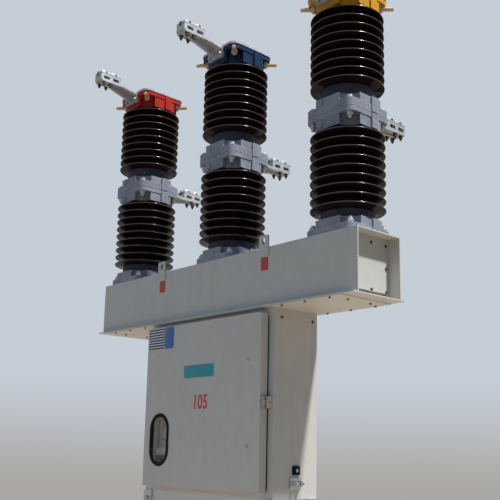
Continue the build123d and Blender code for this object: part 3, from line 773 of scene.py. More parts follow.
FINISHES = {
    "cabinet paint": recipe(
        painted, "cabinet", (0.30, 0.27, 0.23), wear=0.30, dust=0.16, streaks=0.12, spread=0.07, drift=1.6
    ),
    "red paint": recipe(
        painted, "red", (0.35, 0.33, 0.32), wear=0.5, dust=0.12, streaks=0.25, gloss=0.5, shine=0.2
    ),
    "blue paint": recipe(
        painted, "blue", (0.30, 0.32, 0.34), wear=0.5, dust=0.08, streaks=0.25, gloss=0.5, shine=0.2
    ),
    "yellow paint": recipe(
        painted, "yellow", (0.40, 0.36, 0.30), wear=0.5, dust=0.08, streaks=0.4, gloss=0.5, shine=0.2
    ),
    # Made pale to stand in for the light that reaches the mechanism through the window: painted light.
    "mechanism grey": recipe(
        painted, (0.62, 0.58, 0.52), (0.42, 0.42, 0.42), wear=0.6, dust=0.5, streaks=0.1
    ),
    "number paint": recipe(painted, "number", (0.46, 0.44, 0.40), dust=0.08, streaks=0.1),
    # The rod's brown is made pale to stand in for the light inside the cabinet: painted light.
    "brown paint": recipe(painted, (0.42, 0.20, 0.14), (0.3, 0.28, 0.26), dust=0.2, streaks=0.2),
    "teal plate": recipe(
        painted, "name_plate", (0.5, 0.5, 0.48), wear=0.3, dust=0.08, streaks=0.1, gloss=0.3
    ),
    "red plate": recipe(
        painted, (0.55, 0.025, 0.02), (0.6, 0.55, 0.5), wear=0.3, dust=0.25, streaks=0.2, gloss=0.3
    ),
    "blue plate": recipe(
        painted, (0.02, 0.13, 0.42), (0.5, 0.5, 0.5), wear=0.3, dust=0.25, streaks=0.2, gloss=0.3
    ),
    "pale plate": recipe(
        painted, (0.66, 0.66, 0.63), (0.4, 0.4, 0.4), wear=0.2, dust=0.25, streaks=0.3, gloss=0.35
    ),
    # Ledge, wheels and inner plate: pale colours that stand in for the light inside the cabinet: painted
    # light.
    "bright plate": recipe(painted, (0.78, 0.79, 0.80), (0.5, 0.5, 0.5), wear=0.3, dust=0.1, streaks=0.1),
    "beige plate": recipe(
        painted, (0.82, 0.77, 0.68), (0.5, 0.5, 0.5), wear=0.3, dust=0.1, streaks=0.3, spread=0.3, drift=14.0
    ),
    "ruled plate": recipe(
        striped, (0.80, 0.81, 0.82), (0.012, 0.014, 0.025), low=RULED_PLATE[0], high=RULED_PLATE[1], count=8
    ),
    # The wide, strong bright edges are partly worn metal and partly painted highlights on the castings'
    # edges.
    "cast aluminium": recipe(
        cast_metal,
        "casting",
        coarseness=420.0,
        depth=0.0006,
        metallic=0.1,
        rough=0.44,
        dust=0.2,
        wear=0.8,
        edge=0.009,
        shine=0.25,
    ),
    # Dark bluish neck bands: painted shade under the lowest shed and a painted sky reflection.
    "neck band": recipe(
        cast_metal, "band", coarseness=420.0, depth=0.0006, metallic=0.1, rough=0.45, dust=0.12, shine=0.2
    ),
    "bare aluminium": recipe(
        cast_metal, "bare", coarseness=500.0, depth=0.0003, metallic=0.25, dust=0.10
    ),
    "latch steel": recipe(
        cast_metal, (0.40, 0.385, 0.36), coarseness=500.0, depth=0.0003, metallic=0.75, rough=0.42, dust=0.25
    ),
    "stud brass": recipe(cast_metal, (0.62, 0.44, 0.27), metallic=0.4, rough=0.45, dust=0.2),
    "bright zinc": recipe(cast_metal, (0.46, 0.47, 0.47), rough=0.4, dust=0.25),
    "dark steel": recipe(cast_metal, (0.10, 0.095, 0.09), metallic=0.6, dust=0.2),
    "weld": recipe(cast_metal, (0.30, 0.30, 0.30), coarseness=300.0, depth=0.0005),
    "galvanised": recipe(galvanised, "zinc"),
    "brown porcelain": recipe(glaze, "glaze", "glaze_rim"),
    "black rubber": recipe(rubber, (0.004, 0.004, 0.006)),
    "clear glass": recipe(clear_glass, (0.9, 0.93, 0.93)),
}


# Steps


class BreakerStep:
    """What the operators share."""

    bl_options = {"REGISTER", "UNDO"}


class BREAKER_OT_finishes(BreakerStep, bpy.types.Operator):
    """Gives every CAD node the procedural finish of its slot in the record"""

    bl_idname = "breaker.finishes"
    bl_label = "Finish the CAD nodes"

    def execute(self, context):
        for row in frame["record"]["subparts"]:
            node = frame["nodes"][row["node"]]
            material = finish(row["material_slot"].replace("_", " "))
            if not node.material_slots:
                node.data.materials.append(material)
            for slot in node.material_slots:
                slot.material = material
        return {"FINISHED"}


class BREAKER_OT_insulators(BreakerStep, bpy.types.Operator):
    """Turns the six porcelain bodies with rounded rims and hollowed undersides"""

    bl_idname = "breaker.insulators"
    bl_label = "Porcelain bodies"

    def shed(self, size, outer):
        """One shed's profile from the neck below it: (radius, height over the rim's lower edge, rim mask).

        The underside falls from the rim as the square of the way in, and the rim is an arc of 150 degrees.
        The top rises to the neck as the way in to the power 1.25.
        """
        neck, half = size.neck_radius, size.rim / 2
        tip = outer - half
        way = np.linspace(0, 1, 6)
        under = np.stack([neck + (tip - neck) * way, -size.undercut * (1 - way) ** 2, 0 * way], axis=1)
        angle = np.radians(np.linspace(-80, 70, 7))
        # Rim mask: where the glaze thins and a painted sheen runs along the rim; it also carries the clear
        # coat.
        thin_glaze_and_sheen = np.clip(1 - np.abs(angle) / 0.9, 0, 1)
        edge = np.stack([tip + half * np.cos(angle), half + half * np.sin(angle), thin_glaze_and_sheen], axis=1)
        inner = tip + half * cos(angle[-1])
        way = way[1:]
        above = np.stack([inner + (neck - inner) * way, size.rim + size.slope * way**1.25, 0 * way], axis=1)
        return np.concatenate([under, edge, above])

    def execute(self, context):
        size = sizes("breaker_insulators")
        for name, axis in pole_axes().items():
            for part, neck in (("lower", size.lower_neck), ("upper", size.upper_neck)):
                node = f"{part}_insulator_{name}"
                low, high = corners(node)
                sheds = np.repeat(self.shed(size, (high[0] - low[0]) / 2)[None], size.sheds, axis=0)
                sheds[:, :, 1] += low[2] + neck + np.arange(size.sheds)[:, None] * size.pitch
                foot, head = (size.neck_radius, low[2], 0.0), (size.neck_radius, high[2], 0.0)
                profile = np.concatenate([[foot], sheds.reshape(-1, 3), [head]])
                shape = shifted(turned(profile[:, :2], size.segments), axis)
                mask = np.repeat(profile[:, 2], size.segments)
                title = f"porcelain_{part}_{name}"
                piece = make_piece(title, shape, "brown porcelain", sharp=60, mask=mask)
                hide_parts(node)
        return {"FINISHED"}


class BREAKER_OT_neck_bands(BreakerStep, bpy.types.Operator):
    """Puts a fluted band round each neck, between the casting and the first shed"""

    bl_idname = "breaker.neck_bands"
    bl_label = "Neck bands"

    def band(self, size, low, high):
        """Radius over the neck's, less the flute depth times the sixth power of a cosine that runs round it.

        The flutes fade out near both edges, and the band's own ends turn in to the neck.
        """
        thickness, seam, fading = 0.0032, 0.0002, 0.2
        angle = np.linspace(0, 2 * pi, size.flutes * 6, endpoint=False)
        level = np.array([0, 0.02, 0.08, 0.2, 0.5, 0.8, 0.92, 0.98, 1])
        fade = np.clip(np.minimum(level, 1 - level) / fading, 0, 1)[:, None]
        groove = np.abs(np.cos(angle * size.flutes / 2)) ** 6
        radius = size.neck_radius + thickness - size.flute_depth * fade * groove
        radius[[0, -1]] = size.neck_radius + seam
        return rings(radius, low + level * (high - low), capped=(False, False))

    def execute(self, context):
        size = sizes("breaker_insulators")
        lift, clearance = 0.0004, 0.002
        places = (("lower", "base_flange", size.lower_neck), ("upper", "middle_housing", size.upper_neck))
        for name, axis in pole_axes().items():
            shapes = []
            for part, casting, neck in places:
                low = top(f"{casting}_{name}") + lift
                high = bottom(f"{part}_insulator_{name}") + neck - size.undercut - clearance
                shapes.append(shifted(self.band(size, low, high), axis))
            make_piece(f"neck_bands_{name}", together(*shapes), "neck band", sharp=50)
        return {"FINISHED"}


class BREAKER_OT_casting_bolts(BreakerStep, bpy.types.Operator):
    """Bolts the corners of the square castings and covers"""

    bl_idname = "breaker.casting_bolts"
    bl_label = "Casting bolts"

    def execute(self, context):
        size = sizes("breaker_fasteners")
        across = size.casting_across
        nut = bolt(across, across * 0.55, across * 0.62, 0.003, across / 3, 0.012)
        head = bolt(across, across * 0.45, across * 0.62, 0.003)
        end = bolt(across, across * 0.5, across * 0.6, 0.003, across / 3, 0.016)
        small = bolt(0.017, 0.007, 0.0105, 0.0018)
        for name, axis in pole_axes().items():
            lower, upper = f"lower_insulator_{name}", f"upper_insulator_{name}"
            rows = (
                (nut, bottom(lower), UP, 0.2),
                (head, bottom(upper), UP, 0.4),
                (end, top(lower), DOWN, 0.1),
                (end, top(upper), DOWN, 0.3),
                (small, top(f"head_cover_{name}"), UP, 0.15),
            )
            square = axis + SQUARE * size.casting_inset
            shapes = [placed(kind, square + (0, 0, z), way, spin) for kind, z, way, spin in rows]
            make_piece(f"casting_bolts_{name}", together(*shapes), "bright zinc")
        return {"FINISHED"}


class BREAKER_OT_head_studs(BreakerStep, bpy.types.Operator):
    """Adds the four level studs under the corners of each head casting, with their nuts"""

    bl_idname = "breaker.head_studs"
    bl_label = "Head studs"

    def execute(self, context):
        clearance, radius, chamfer, nut_place, drop = 0.010, 0.0105, 0.002, 0.160, 0.014
        start = sizes("breaker_insulators").neck_radius + clearance
        reach = sizes("breaker_fasteners").stud_reach - start
        rod = turned([(radius, 0), (radius, reach - chamfer), (radius - chamfer, reach)], 24)
        nut = bolt(0.030, 0.016, 0.018, 0.003)
        out = SQUARE / 2**0.5
        for name, axis in pole_axes().items():
            middle = axis + (0, 0, top(f"upper_insulator_{name}") - drop)
            rods = placed(rod, middle + out * start, out)
            nuts = placed(nut, middle + out * nut_place, out, spin=0.3)
            make_piece(f"head_studs_{name}", together(rods, nuts), "stud brass")
        return {"FINISHED"}


class BREAKER_OT_terminal_bolts(BreakerStep, bpy.types.Operator):
    """Bolts the terminals to the castings, the clamps to their pads and the caps to the clamps"""

    bl_idname = "breaker.terminal_bolts"
    bl_label = "Terminal bolts"

    def execute(self, context):
        size = sizes("breaker_fasteners")
        across, cap_across = size.terminal_across, size.cap_across
        mounts = {row["name"]: np.array(row["pos_m"]) for row in frame["record"]["mounts"]}
        cap = bolt(cap_across, cap_across * 0.6, cap_across * 0.66, 0.0015)
        cap_nut = bolt(cap_across, cap_across * 0.7, stud=cap_across * 0.3, stud_length=0.003)
        nut = bolt(across, across * 0.7, across * 0.66, 0.003, across * 0.3, 0.010)
        root = bolt(across, across * 0.5, across * 0.66, 0.0025)
        ears, above_ears, below_ears = SQUARE * (0.033, 0.034, 0), 0.010, 0.013
        pad, pad_reach, pad_drop = SQUARE * (0.027, 0.024, 0), 0.022, 0.050
        root_shift, root_reach, root_drop = 0.045, 0.162, 0.040
        for name, axis in pole_axes().items():
            seats = {"top": top(f"head_casting_{name}"), "middle": bottom(f"upper_insulator_{name}")}
            shapes, roots = [], []
            for where, side in (("top", -1), ("middle", 1)):
                middle = mounts[f"{where}_clamp_{name}"]
                shapes.append(placed(cap, middle + ears + (0, 0, above_ears), across=RIGHT))
                shapes.append(placed(cap_nut, middle + ears - (0, 0, below_ears), DOWN, spin=0.3))
                shapes.append(placed(nut, middle + pad + (0, side * pad_reach, -pad_drop), DOWN, spin=0.2))
                height = seats[where] - root_drop
                spots = [axis + (shift, side * root_reach, height) for shift in (-root_shift, root_shift)]
                roots.append(placed(root, spots, (0, side, 0), spin=0.2))
            # The clamp bolts' dark steel partly stands in for the shade under the clamps: painted shade.
            make_piece(f"clamp_bolts_{name}", together(*shapes), "dark steel")
            make_piece(f"terminal_bolts_{name}", together(*roots), "bright zinc")
        return {"FINISHED"}


class BREAKER_OT_beam_fittings(BreakerStep, bpy.types.Operator):
    """Adds the bolts of the beam's panels and cover, its two small plates and the welds of its lugs"""

    bl_idname = "breaker.beam_fittings"
    bl_label = "Beam fittings"

    def execute(self, context):
        across = sizes("breaker_fasteners").panel_across
        head = bolt(across, across * 0.45, across * 0.75, 0.0015)
        for word, side in (("left", -1), ("right", 1)):
            self.panel_bolts(word, side, head)
        self.cover_bolts(head)
        beam_lip, lug_shift, plate_drop = 0.030, 0.015, 0.085
        front = corners("beam_shell")[0][1] + beam_lip
        beam_top = bottom("base_flange_middle")
        lug_x = (pole_axes()["right"][0] + lug_shift) / 2
        places = [(x, front, beam_top - plate_drop) for x in (0.0045 - lug_x, 0.0015 + lug_x)]
        shape = placed(plate(0.053, 0.066, 0.0012, edge=0.0006), places, FRONT)
        make_piece("beam_plates", shape, "red plate")
        half_lug, skin, radius = 0.034, 0.0002, 0.0035
        low, high = beam_top - 0.047, beam_top - 0.002
        lugs = [(x, y) for x in (-lug_x, lug_x) for y in (front - skin, skin - front)]
        lines = [(x + side * half_lug, y) for x, y in lugs for side in (-1, 1)]
        welds = [bead((x, y, low), (x, y, high), radius) for x, y in lines]
        make_piece("lug_welds", together(*welds), "cabinet paint", sharp=80)
        return {"FINISHED"}

    def panel_bolts(self, word, side, head):
        """Eight bolts near the edges of an end panel."""
        low, high = corners(f"end_panel_{word}")
        face = high[0] if side > 0 else low[0]
        edge, middle = 0.125, 0.018 * side
        lower_margin, upper_margin = 0.007, 0.031
        rows = np.linspace(low[2] + lower_margin, high[2] - upper_margin, 3)
        spots = [(face, y, z) for z in rows for y in (-edge, middle, edge) if z != rows[1] or y != middle]
        shape = placed(head, spots, (side, 0, 0), spin=0.2)
        make_piece(f"end_panel_bolts_{word}", shape, "dark steel")

    def cover_bolts(self, head):
        """Bolts along the two long edges and at both ends of the cover under the beam."""
        low, high = corners("bottom_cover")
        reach, wide, end = high[0] - 0.080, high[1] - 0.018, high[0] - 0.051
        pitch, end_places = 0.155, (-0.07, 0.09)
        columns = [side * (reach - pitch * i) for side in (-1, 1) for i in range(3)]
        spots = [(x, y, low[2]) for x in columns for y in (-wide, wide)]
        spots += [(side * end, y, low[2]) for side in (-1, 1) for y in end_places]
        make_piece("cover_bolts", placed(head, spots, DOWN, spin=0.1), "dark steel")


class BREAKER_OT_door_plates(BreakerStep, bpy.types.Operator):
    """Fits the plates and the plain number on the door"""

    bl_idname = "breaker.door_plates"
    bl_label = "Door plates and number"

    def execute(self, context):
        face = door_face()
        thickness = 0.0014
        wide, label = (DOOR_TOP - 0.294, DOOR_TOP - 0.228), (DOOR_TOP - 0.162, DOOR_TOP - 0.130)
        plates = (
            ("wide_plate", "teal plate", (-0.130, 0.120), wide, 0.004, 0.008),
            ("ruled_plate", "ruled plate", (-0.468, -0.310), RULED_PLATE, 0.003, 0.006),
            ("blue_plate", "blue plate", (-0.308, -0.232), RULED_PLATE, 0.003, 0.006),
            ("small_label", "pale plate", (-0.434, -0.383), label, 0.003, None),
        )
        spots = []
        for name, material, (left, right), (low, high), corner, inset in plates:
            shape = plate(right - left, high - low, thickness, corner, thickness / 2)
            place = ((left + right) / 2, face, (low + high) / 2)
            make_piece(name, placed(shape, place, FRONT), material, body="door")
            if inset:
                across, upward = (left + inset, right - inset), (low + inset, high - inset)
                spots += [(x, face - thickness, z) for x in across for z in upward]
        rivet = turned([(0.0035, 0), (0.0033, 0.0008), (0.002, 0.0015), (0.0006, 0.0018)], 16)
        make_piece("plate_rivets", placed(rivet, spots, FRONT), "bright zinc", body="door")
        self.number(face)
        return {"FINISHED"}

    def number(self, face):
        """Plain figures, made a mesh first and then stood on the door."""
        fittings = sizes("breaker_door")
        figure_share, narrowing, thickness, shift, rise = 0.69, 0.8, 0.0003, 0.0145, 0.005
        text = bpy.data.curves.new("door number", "FONT")
        text.body = fittings.number
        text.size = fittings.number_height / figure_share
        text.space_character = 1.02
        text.extrude = thickness
        text.offset = 0.0018
        text.align_x, text.align_y = "CENTER", "CENTER"
        holder = add_object("door number", text)
        bpy.context.view_layer.update()
        mesh = bpy.data.meshes.new_from_object(holder.evaluated_get(bpy.context.evaluated_depsgraph_get()))
        bpy.data.objects.remove(holder)
        place = Matrix.Translation((shift, face - thickness, DOOR_MIDDLE + rise))
        mesh.transform(place @ Matrix.Rotation(pi / 2, 4, "X") @ Matrix.Diagonal((narrowing, 1, 1, 1)))
        mesh.materials.clear()
        dress("door_number", mesh, "number paint", "door")


class BREAKER_OT_door_hardware(BreakerStep, bpy.types.Operator):
    """Fits the two turn locks, the button of the latch and the rubber seal of the door"""

    bl_idname = "breaker.door_hardware"
    bl_label = "Door hardware"

    def lock(self):
        """Turned rosette with a domed plug; the slot across it is a shallow bar."""
        rosette = [(0.0115, 0), (0.0115, 0.0015), (0.0103, 0.003), (0.0080, 0.0032), (0.0076, 0.0022)]
        plug = [(0.0065, 0.0024), (0.0064, 0.0042), (0.0046, 0.0052), (0.001, 0.0055)]
        slot = [(0, 0.0045), (0, 0.0062), (-0.0004, 0.0066)]
        bar = rounded_ring(0.009, 0.0024, 0.0008, slot, per_corner=4)
        return together(turned(rosette + plug, 32), bar)

    def execute(self, context):
        lock_inset, lock_rises, button_depth = 0.087, (0.204, -0.211), 0.0155
        lock_x = corners("cabinet_door")[1][0] - lock_inset
        places = [(lock_x, door_face(), DOOR_MIDDLE + rise) for rise in lock_rises]
        locks = placed(self.lock(), places, FRONT)
        make_piece("door_locks", locks, "bright zinc", body="door")
        low, high = corners("door_latch")
        rim = [(0.012, 0), (0.012, 0.0012), (0.0105, 0.0024)]
        button = turned(rim + [(0.005, 0.0026), (0.0045, 0.0014), (0.001, 0.0012)], 32)
        spot = (high[0], low[1] + button_depth, centre("door_latch")[2])
        make_piece("latch_button", placed(button, spot, RIGHT), "bright zinc", body="door")
        self.seal()
        return {"FINISHED"}

    def seal(self):
        """Bulb of soft rubber: a half-round profile carried round the opening on the cabinet's front."""
        front = -corners("cabinet_shell")[1][1]
        width, height, corner = 0.925, 0.845, 0.025
        bulb_radius, foot_height = 0.0055, 0.002
        angle = np.radians(np.linspace(-90, 90, 9))
        bulb = np.stack([bulb_radius * np.sin(angle), bulb_radius * np.cos(angle)], axis=1)[:-1]
        # The seal is real, but its flat foot is carried out to the door's edge so the gap round the door
        # reads black: painted shade.
        foot = [(0.0062, foot_height), (0.0072, foot_height), (0.0072, 0.0)]
        profile = np.concatenate([[(-bulb_radius, 0.0)], bulb, foot])
        shape = rounded_ring(width, height, corner, profile, capped=(False, False))
        shape = placed(shape, (0, front, DOOR_MIDDLE), FRONT)
        make_piece("door_seal", shape, "black rubber", sharp=80)


class BREAKER_OT_window_gasket(BreakerStep, bpy.types.Operator):
    """Carries a rubber profile round the window's slot shape"""

    bl_idname = "breaker.window_gasket"
    bl_label = "Window gasket"

    def execute(self, context):
        low, high = corners("window_gasket")
        pane_low, pane_high = corners("window_glass")
        width, depth, height = high - low
        clearance, back, sealed = 0.001, 0.003, 0.6
        rim = (width - (pane_high[0] - pane_low[0] + clearance)) / 2
        lip = depth - back
        outer = [(1, 0.5), (0.92, 0.82), (0.72, 0.97), (0.62, 1)]
        groove = [(0.55, 0.8), (0.48, 0.78), (0.4, 1)]
        inner = [(0.22, 0.95), (0.06, 0.6), (0, 0.2), (0, 0), (sealed, 0)]
        profile = [(-rim, -back)] + [(-rim * inset, lip * rise) for inset, rise in outer + groove + inner]
        profile.append((-rim * sealed, -back))
        shape = rounded_ring(width, height, width / 2 - 1e-5, profile, per_corner=28, closed=True)
        place = centre("window_gasket") * (1, 0, 1) + (0, high[1] - back, 0)
        shape = placed(shape, place, FRONT)
        piece = make_piece("window_rubber", shape, "black rubber", body="door", sharp=40)
        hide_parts("window_gasket")
        return {"FINISHED"}


class BREAKER_OT_mechanism_parts(BreakerStep, bpy.types.Operator):
    """Adds the ledge, the rod and the cam wheels of the mechanism that show through the window"""

    bl_idname = "breaker.mechanism_parts"
    bl_label = "Mechanism behind the window"

    def wheel(self, radius, thickness=0.012, teeth=18):
        """Cam wheel: its rim's radius swells by a tenth of a clipped cosine for each tooth.

        The profile is a rim, a web that lies deeper and a hub that stands out, in shares of the radius and
        the thickness.
        """
        angle = np.linspace(0, 2 * pi, teeth * 8, endpoint=False)
        tooth = 0.10 * np.clip(1.6 * np.cos(angle * teeth), -1, 1)
        rim = [(0.30, 0.0), (0.88, 0.0), (0.90, 0.1), (0.90, 0.9), (0.88, 1.0), (0.70, 1.0)]
        web_and_hub = [(0.66, 0.55), (0.36, 0.55), (0.32, 1.5), (0.10, 1.6)]
        share, level = np.array(rim + web_and_hub).T[:, :, None]
        return rings(radius * share * (1 + (share > 0.8) * tooth), thickness * level)

    def execute(self, context):
        size = sizes("breaker_mechanism")
        low, high = corners("mechanism_unit")
        left, face = low[0], low[1] + size.posts_reach
        level, width = size.ledge_height, size.ledge_width
        overhang, lip_height, lip_rise = 0.064, 0.034, 0.018
        middle, front = left - overhang + width / 2, face - size.ledge_depth
        shelf = placed(plate(width, size.ledge_depth), (middle, (front + face) / 2, level))
        lip = placed(plate(width, lip_height, corner=0.003), (middle, front, level + lip_rise), FRONT)
        make_piece("mechanism_ledge", together(shelf, lip), "bright plate")
        # Pale plate for the light area seen through the window; its pale colour also stands in for light
        # inside: painted light.
        plate_width, plate_shift, plate_back = 0.100, 0.052, 0.020
        side = plate(plate_width, high[2] - low[2])
        side = placed(side, (left - plate_shift, low[1] + plate_back, (low[2] + high[2]) / 2), FRONT)
        make_piece("mechanism_plate", side, "beige plate")
        # A black plate under the ledge, where there is only shade: painted shade.
        shade_plate_height, shade_plate_drop, setback = 0.070, 0.036, 0.006
        shade_plate = plate(width - setback, shade_plate_height, corner=0.003)
        shade_plate = placed(shade_plate, (middle, front + setback, level - shade_plate_drop), FRONT)
        make_piece("mechanism_apron", shade_plate, "black rubber")
        rod_shift, rod_front, rod_clearance = 0.020, 0.030, 0.03
        tall = high[2] - level - rod_clearance
        collar = tall * 0.6
        foot = [(0.009, 0), (0.009, 0.03), (0.014, 0.031), (0.014, 0.042), (0.009, 0.043), (0.009, collar)]
        ring = [(0.012, collar + 0.002), (0.012, collar + 0.02), (0.007, collar + 0.022), (0.007, tall)]
        rod = placed(turned(foot + ring, 24), (left - rod_shift, face - rod_front, level))
        make_piece("mechanism_rod", rod, "brown paint")
        lower, upper = (left + 0.043, level + 0.056), (left + 0.041, level + 0.115)
        axles = [(x, face, z) for x, z in (lower, upper)]
        wheels = together(
            placed(self.wheel(0.027), (lower[0], face - 0.020, lower[1]), FRONT),
            placed(self.wheel(0.031), (upper[0], face - 0.014, upper[1]), FRONT),
            placed(turned([(0.008, 0), (0.008, 0.022)], 20), axles, FRONT),
            placed(plate(0.050, 0.040, 0.004), (left - 0.010, face - 0.020, level + tall * 0.8)),
        )
        make_piece("mechanism_wheels", wheels, "bright plate")
        return {"FINISHED"}


class BREAKER_OT_cabinet_fittings(BreakerStep, bpy.types.Operator):
    """Fits the bolts under the cabinet's top edge, and the socket and the earth nuts on its right side"""

    bl_idname = "breaker.cabinet_fittings"
    bl_label = "Cabinet fittings"

    def execute(self, context):
        low, high = corners("cabinet_shell")
        bolt_drop, bolt_places, socket_shift, socket_rise = 0.045, (-0.101, 0.115), 0.002, 0.133
        across = sizes("breaker_fasteners").panel_across
        head = bolt(across, across * 0.5, across * 0.8, 0.002)
        rows = []
        for side in (1, -1):
            spots = [(side * high[0], y, high[2] - bolt_drop) for y in bolt_places]
            rows.append(placed(head, spots, (side, 0, 0)))
        make_piece("cabinet_bolts", together(*rows), "dark steel")
        place = (high[0], socket_shift, low[2] + socket_rise)
        block = plate(0.047, 0.042, 0.009, edge=0.003)
        collar = [(0.015, 0.009), (0.015, 0.012), (0.012, 0.013), (0.0105, 0.0125), (0.0105, 0.0095)]
        ring = turned(collar, 32, capped=(False, False))
        make_piece("socket", placed(together(block, ring), place, RIGHT), "black rubber")
        pin = turned([(0.0085, 0.009), (0.0085, 0.0122), (0.006, 0.014), (0.001, 0.0146)], 24)
        make_piece("socket_pin", placed(pin, place, RIGHT), "pale plate")
        nut = bolt(0.019, 0.010, 0.0125, 0.0025, 0.006, 0.010)
        face, middle = corners("earth_terminal")[1][0], centre("earth_terminal")
        bosses = [(face, middle[1] + shift, middle[2]) for shift in (-0.019, 0.019)]
        make_piece("earth_nuts", placed(nut, bosses, RIGHT, spin=0.2), "bright zinc")
        return {"FINISHED"}


class BREAKER_OT_stand_bolts(BreakerStep, bpy.types.Operator):
    """Bolts the braces and the ring of rails to the legs, and welds the legs to their feet"""

    bl_idname = "breaker.stand_bolts"
    bl_label = "Stand bolts and welds"

    def execute(self, context):
        across = sizes("breaker_fasteners").stand_across
        leg_x, leg_y = np.abs(centre("leg_front_right")[:2])
        bolts, rail_bolts, nuts = [], [], []

        def fasten(place, way, outset, grip):
            """Bolt through a place on the leg, with its head outset from there and its nut a grip behind."""
            bolts.append((place + way * outset, way))
            nuts.append((place - way * grip, -way))

        flange, bar, inset, half_brace = 0.008, 0.006, 0.035, 0.570
        end_x, end_y = leg_x - inset, leg_y - inset
        middle = centre("brace_front")[2]
        low, high = middle - half_brace, middle + half_brace
        rail = centre("top_frame")[2]
        for side in (-1, 1):
            away = np.array([0, side, 0])
            face = away * leg_y
            diagonals = (((-1, low), (1, high)), ((-1, high), (1, low)))
            outer, inner = diagonals if side < 0 else diagonals[::-1]
            for s, z in outer:
                fasten(face + (s * end_x, 0, z), away, bar, flange)
            for s, z in inner:
                fasten(face + (s * end_x, 0, z), away, 0, flange + bar)
            fasten(face + (0, 0, middle), away, bar, flange + bar)
            rail_bolts += [(face + (s * end_x, 0, rail), away) for s in (-1, 1)]
            away = np.array([side, 0, 0])
            face = away * leg_x
            for y, z in ((-side * end_y, low), (side * end_y, middle), (-side * end_y, high)):
                fasten(face + (0, y, z), away, bar, flange)
            rail_bolts += [(face + (0, s * end_y, rail), away) for s in (-1, 1)]
        head = bolt(across, across * 0.42, across * 0.65, 0.003)
        nut = bolt(across, across * 0.54, across * 0.65, 0.003, across / 3, 0.008)
        heads = placed(head, *zip(*bolts + rail_bolts), spin=0.25)
        shape = together(heads, placed(nut, *zip(*nuts), spin=0.1))
        make_piece("stand_bolts", shape, "bright zinc")
        weld_height, weld_length, weld_radius = 0.0155, 0.07, 0.005
        beads = []
        for way in SQUARE:
            corner = way * (leg_x, leg_y, 0) + (0, 0, weld_height)
            for along in ((weld_length, 0, 0), (0, weld_length, 0)):
                beads.append(bead(corner, corner - way * along, weld_radius))
        make_piece("foot_welds", together(*beads), "weld", sharp=80)
        return {"FINISHED"}


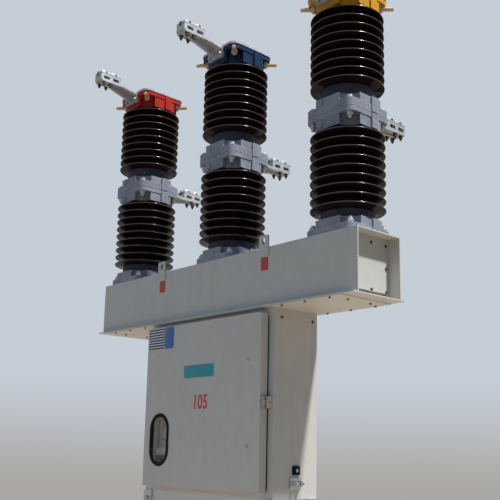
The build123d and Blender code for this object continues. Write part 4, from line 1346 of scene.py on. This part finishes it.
class BREAKER_OT_stage(BreakerStep, bpy.types.Operator):
    """Lays the pale floor, and sets the light and the camera"""

    bl_idname = "breaker.stage"
    bl_label = "Floor, light and camera"

    def execute(self, context):
        settings = sizes("breaker_stage")
        self.floor(settings)
        self.light(settings)
        self.camera()
        context.scene.view_settings.view_transform = "Standard"
        return {"FINISHED"}

    def mix(self, tree, share, first, second, output):
        """Joins two shaders by a share and gives the result to the tree's output."""
        mixed = put(tree, "ShaderNodeMixShader", (2, 0), None, (share, first, second))
        feed(tree, first_of(tree, output), Surface=mixed.outputs[0])

    def floor(self, settings):
        """Disc whose rings lie at even steps; its finish fades out towards the edge."""
        steps, segments, edge, drop, clear_from, clear_to = 30, 72, 9.0, 0.0004, 2.6, 7.0
        radius = np.repeat(np.linspace(0.01, edge, steps)[:, None], segments, axis=1)
        disc = rings(radius, np.full(steps, -drop), capped=(True, False))
        floor = add_object("floor", build_mesh("floor", disc))
        material, tree, shader = surface("floor", Roughness=0.85)
        tone = use(tree, "Colour Drift", (-4, 2), Color=tuple(settings.floor), Spread=0.03, Scale=1.5)
        feed(tree, shader, Base_Color=tone)
        place = object_place(tree, (-7, -2))
        far = put(tree, "ShaderNodeVectorMath", (-6, -2), {"operation": "LENGTH"}, (place,)).outputs["Value"]
        clear = put(tree, "ShaderNodeBsdfTransparent", (0, -2)).outputs[0]
        fade = ramp(tree, (-4, -2), far, clear_from, clear_to)
        self.mix(tree, fade, shader.outputs[0], clear, "OUTPUT_MATERIAL")
        floor.data.materials.append(material)

    def light(self, settings):
        """Main light from the right and a fill from all round; the camera sees the backdrop behind."""
        lamp = bpy.data.lights.new("main light", "SUN")
        lamp.energy = settings.sun
        lamp.angle = radians(3.5)
        holder = add_object("main light", lamp)
        holder.rotation_mode = "QUATERNION"
        holder.rotation_quaternion = Vector(settings.sun_from).to_track_quat("Z", "Y")
        world = bpy.data.worlds.new("studio")
        bpy.context.scene.world = world
        world.use_nodes = True
        tree = world.node_tree
        way = put(tree, "ShaderNodeTexCoord", (-6, -2)).outputs["Generated"]
        parts = put(tree, "ShaderNodeSeparateXYZ", (-5, -2), Vector=way).outputs
        dimmed = ramp(tree, (-4, 1), parts[0], 0.0, 0.8, settings.sky, settings.sky * settings.sky_side)
        above = ramp(tree, (-4, -2), parts[2], -0.06, 0.10)
        ground = tuple(settings.ground)
        glow = blend(tree, (-2, 0), above, ground, tuple(settings.sky_colour))
        back = first_of(tree, "BACKGROUND")
        feed(tree, back, Color=glow, Strength=dimmed)
        behind = blend(tree, (-2, -2), above, ground, tuple(settings.backdrop))
        seen = put(tree, "ShaderNodeBackground", (0, -2), Color=behind, Strength=1.0)
        path = put(tree, "ShaderNodeLightPath", (-6, 2)).outputs
        direct = calculate(tree, (-3, 2), "MAXIMUM", path["Is Camera Ray"], path["Is Transmission Ray"])
        direct = calculate(tree, (-2, 2), "MAXIMUM", direct, path["Is Glossy Ray"])
        self.mix(tree, direct, back.outputs[0], seen.outputs[0], "OUTPUT_WORLD")

    def camera(self):
        """Camera at the photograph's viewing angle: yaw, pitch and roll turn its right, up and view ways."""
        place, lens, raised = (3.3284, -2.8341, 1.6354), 58.4227, 0.06
        yaw, pitch, roll = radians(-48.2185), radians(11.8214), radians(1.1811)
        up = Vector(UP)
        ahead = Vector((sin(yaw), cos(yaw), 0))
        right = Vector((cos(yaw), -sin(yaw), 0))
        view = ahead * cos(pitch) + up * sin(pitch)
        above = up * cos(pitch) - ahead * sin(pitch)
        x = right * cos(roll) + above * sin(roll)
        y = above * cos(roll) - right * sin(roll)
        data = bpy.data.cameras.new("camera")
        data.sensor_fit = "HORIZONTAL"
        data.sensor_width = 36.0
        data.lens = lens
        data.shift_y = raised
        data.clip_end = 200.0
        camera = add_object("camera", data)
        camera.matrix_world = Matrix.Translation(place) @ Matrix((x, y, -view)).transposed().to_4x4()
        bpy.context.scene.camera = camera


class BREAKER_PT_panel(bpy.types.Panel):
    """Settings and steps of the breaker's dressing"""

    bl_idname = "BREAKER_PT_panel"
    bl_label = "Circuit breaker"
    bl_space_type = "VIEW_3D"
    bl_region_type = "UI"
    bl_category = "Breaker"

    def draw(self, context):
        layout = self.layout
        for name, kind in SETTINGS.items():
            box = layout.box()
            box.label(text=kind.__doc__)
            for key in kind.__annotations__:
                box.prop(getattr(context.scene, name), key)
        for step in STEPS:
            layout.operator(step.bl_idname)


SETTINGS = {
    "breaker_insulators": InsulatorSizes,
    "breaker_fasteners": FastenerSizes,
    "breaker_colours": Colours,
    "breaker_door": DoorFittings,
    "breaker_mechanism": MechanismSizes,
    "breaker_stage": StageSettings,
}

STEPS = (
    BREAKER_OT_finishes,
    BREAKER_OT_insulators,
    BREAKER_OT_neck_bands,
    BREAKER_OT_casting_bolts,
    BREAKER_OT_head_studs,
    BREAKER_OT_terminal_bolts,
    BREAKER_OT_beam_fittings,
    BREAKER_OT_door_plates,
    BREAKER_OT_door_hardware,
    BREAKER_OT_window_gasket,
    BREAKER_OT_mechanism_parts,
    BREAKER_OT_cabinet_fittings,
    BREAKER_OT_stand_bolts,
    BREAKER_OT_stage,
)


def register():
    for kind in (*SETTINGS.values(), *STEPS, BREAKER_PT_panel):
        bpy.utils.register_class(kind)
    for name, kind in SETTINGS.items():
        setattr(bpy.types.Scene, name, PointerProperty(type=kind))


def unregister():
    for name in SETTINGS:
        delattr(bpy.types.Scene, name)
    for kind in reversed((*SETTINGS.values(), *STEPS, BREAKER_PT_panel)):
        bpy.utils.unregister_class(kind)


def main():
    """Registers the add-on and runs its steps in order."""
    register()
    for step in STEPS:
        getattr(bpy.ops.breaker, step.bl_idname.split(".")[1])()


if __name__ == "__main__":
    main()
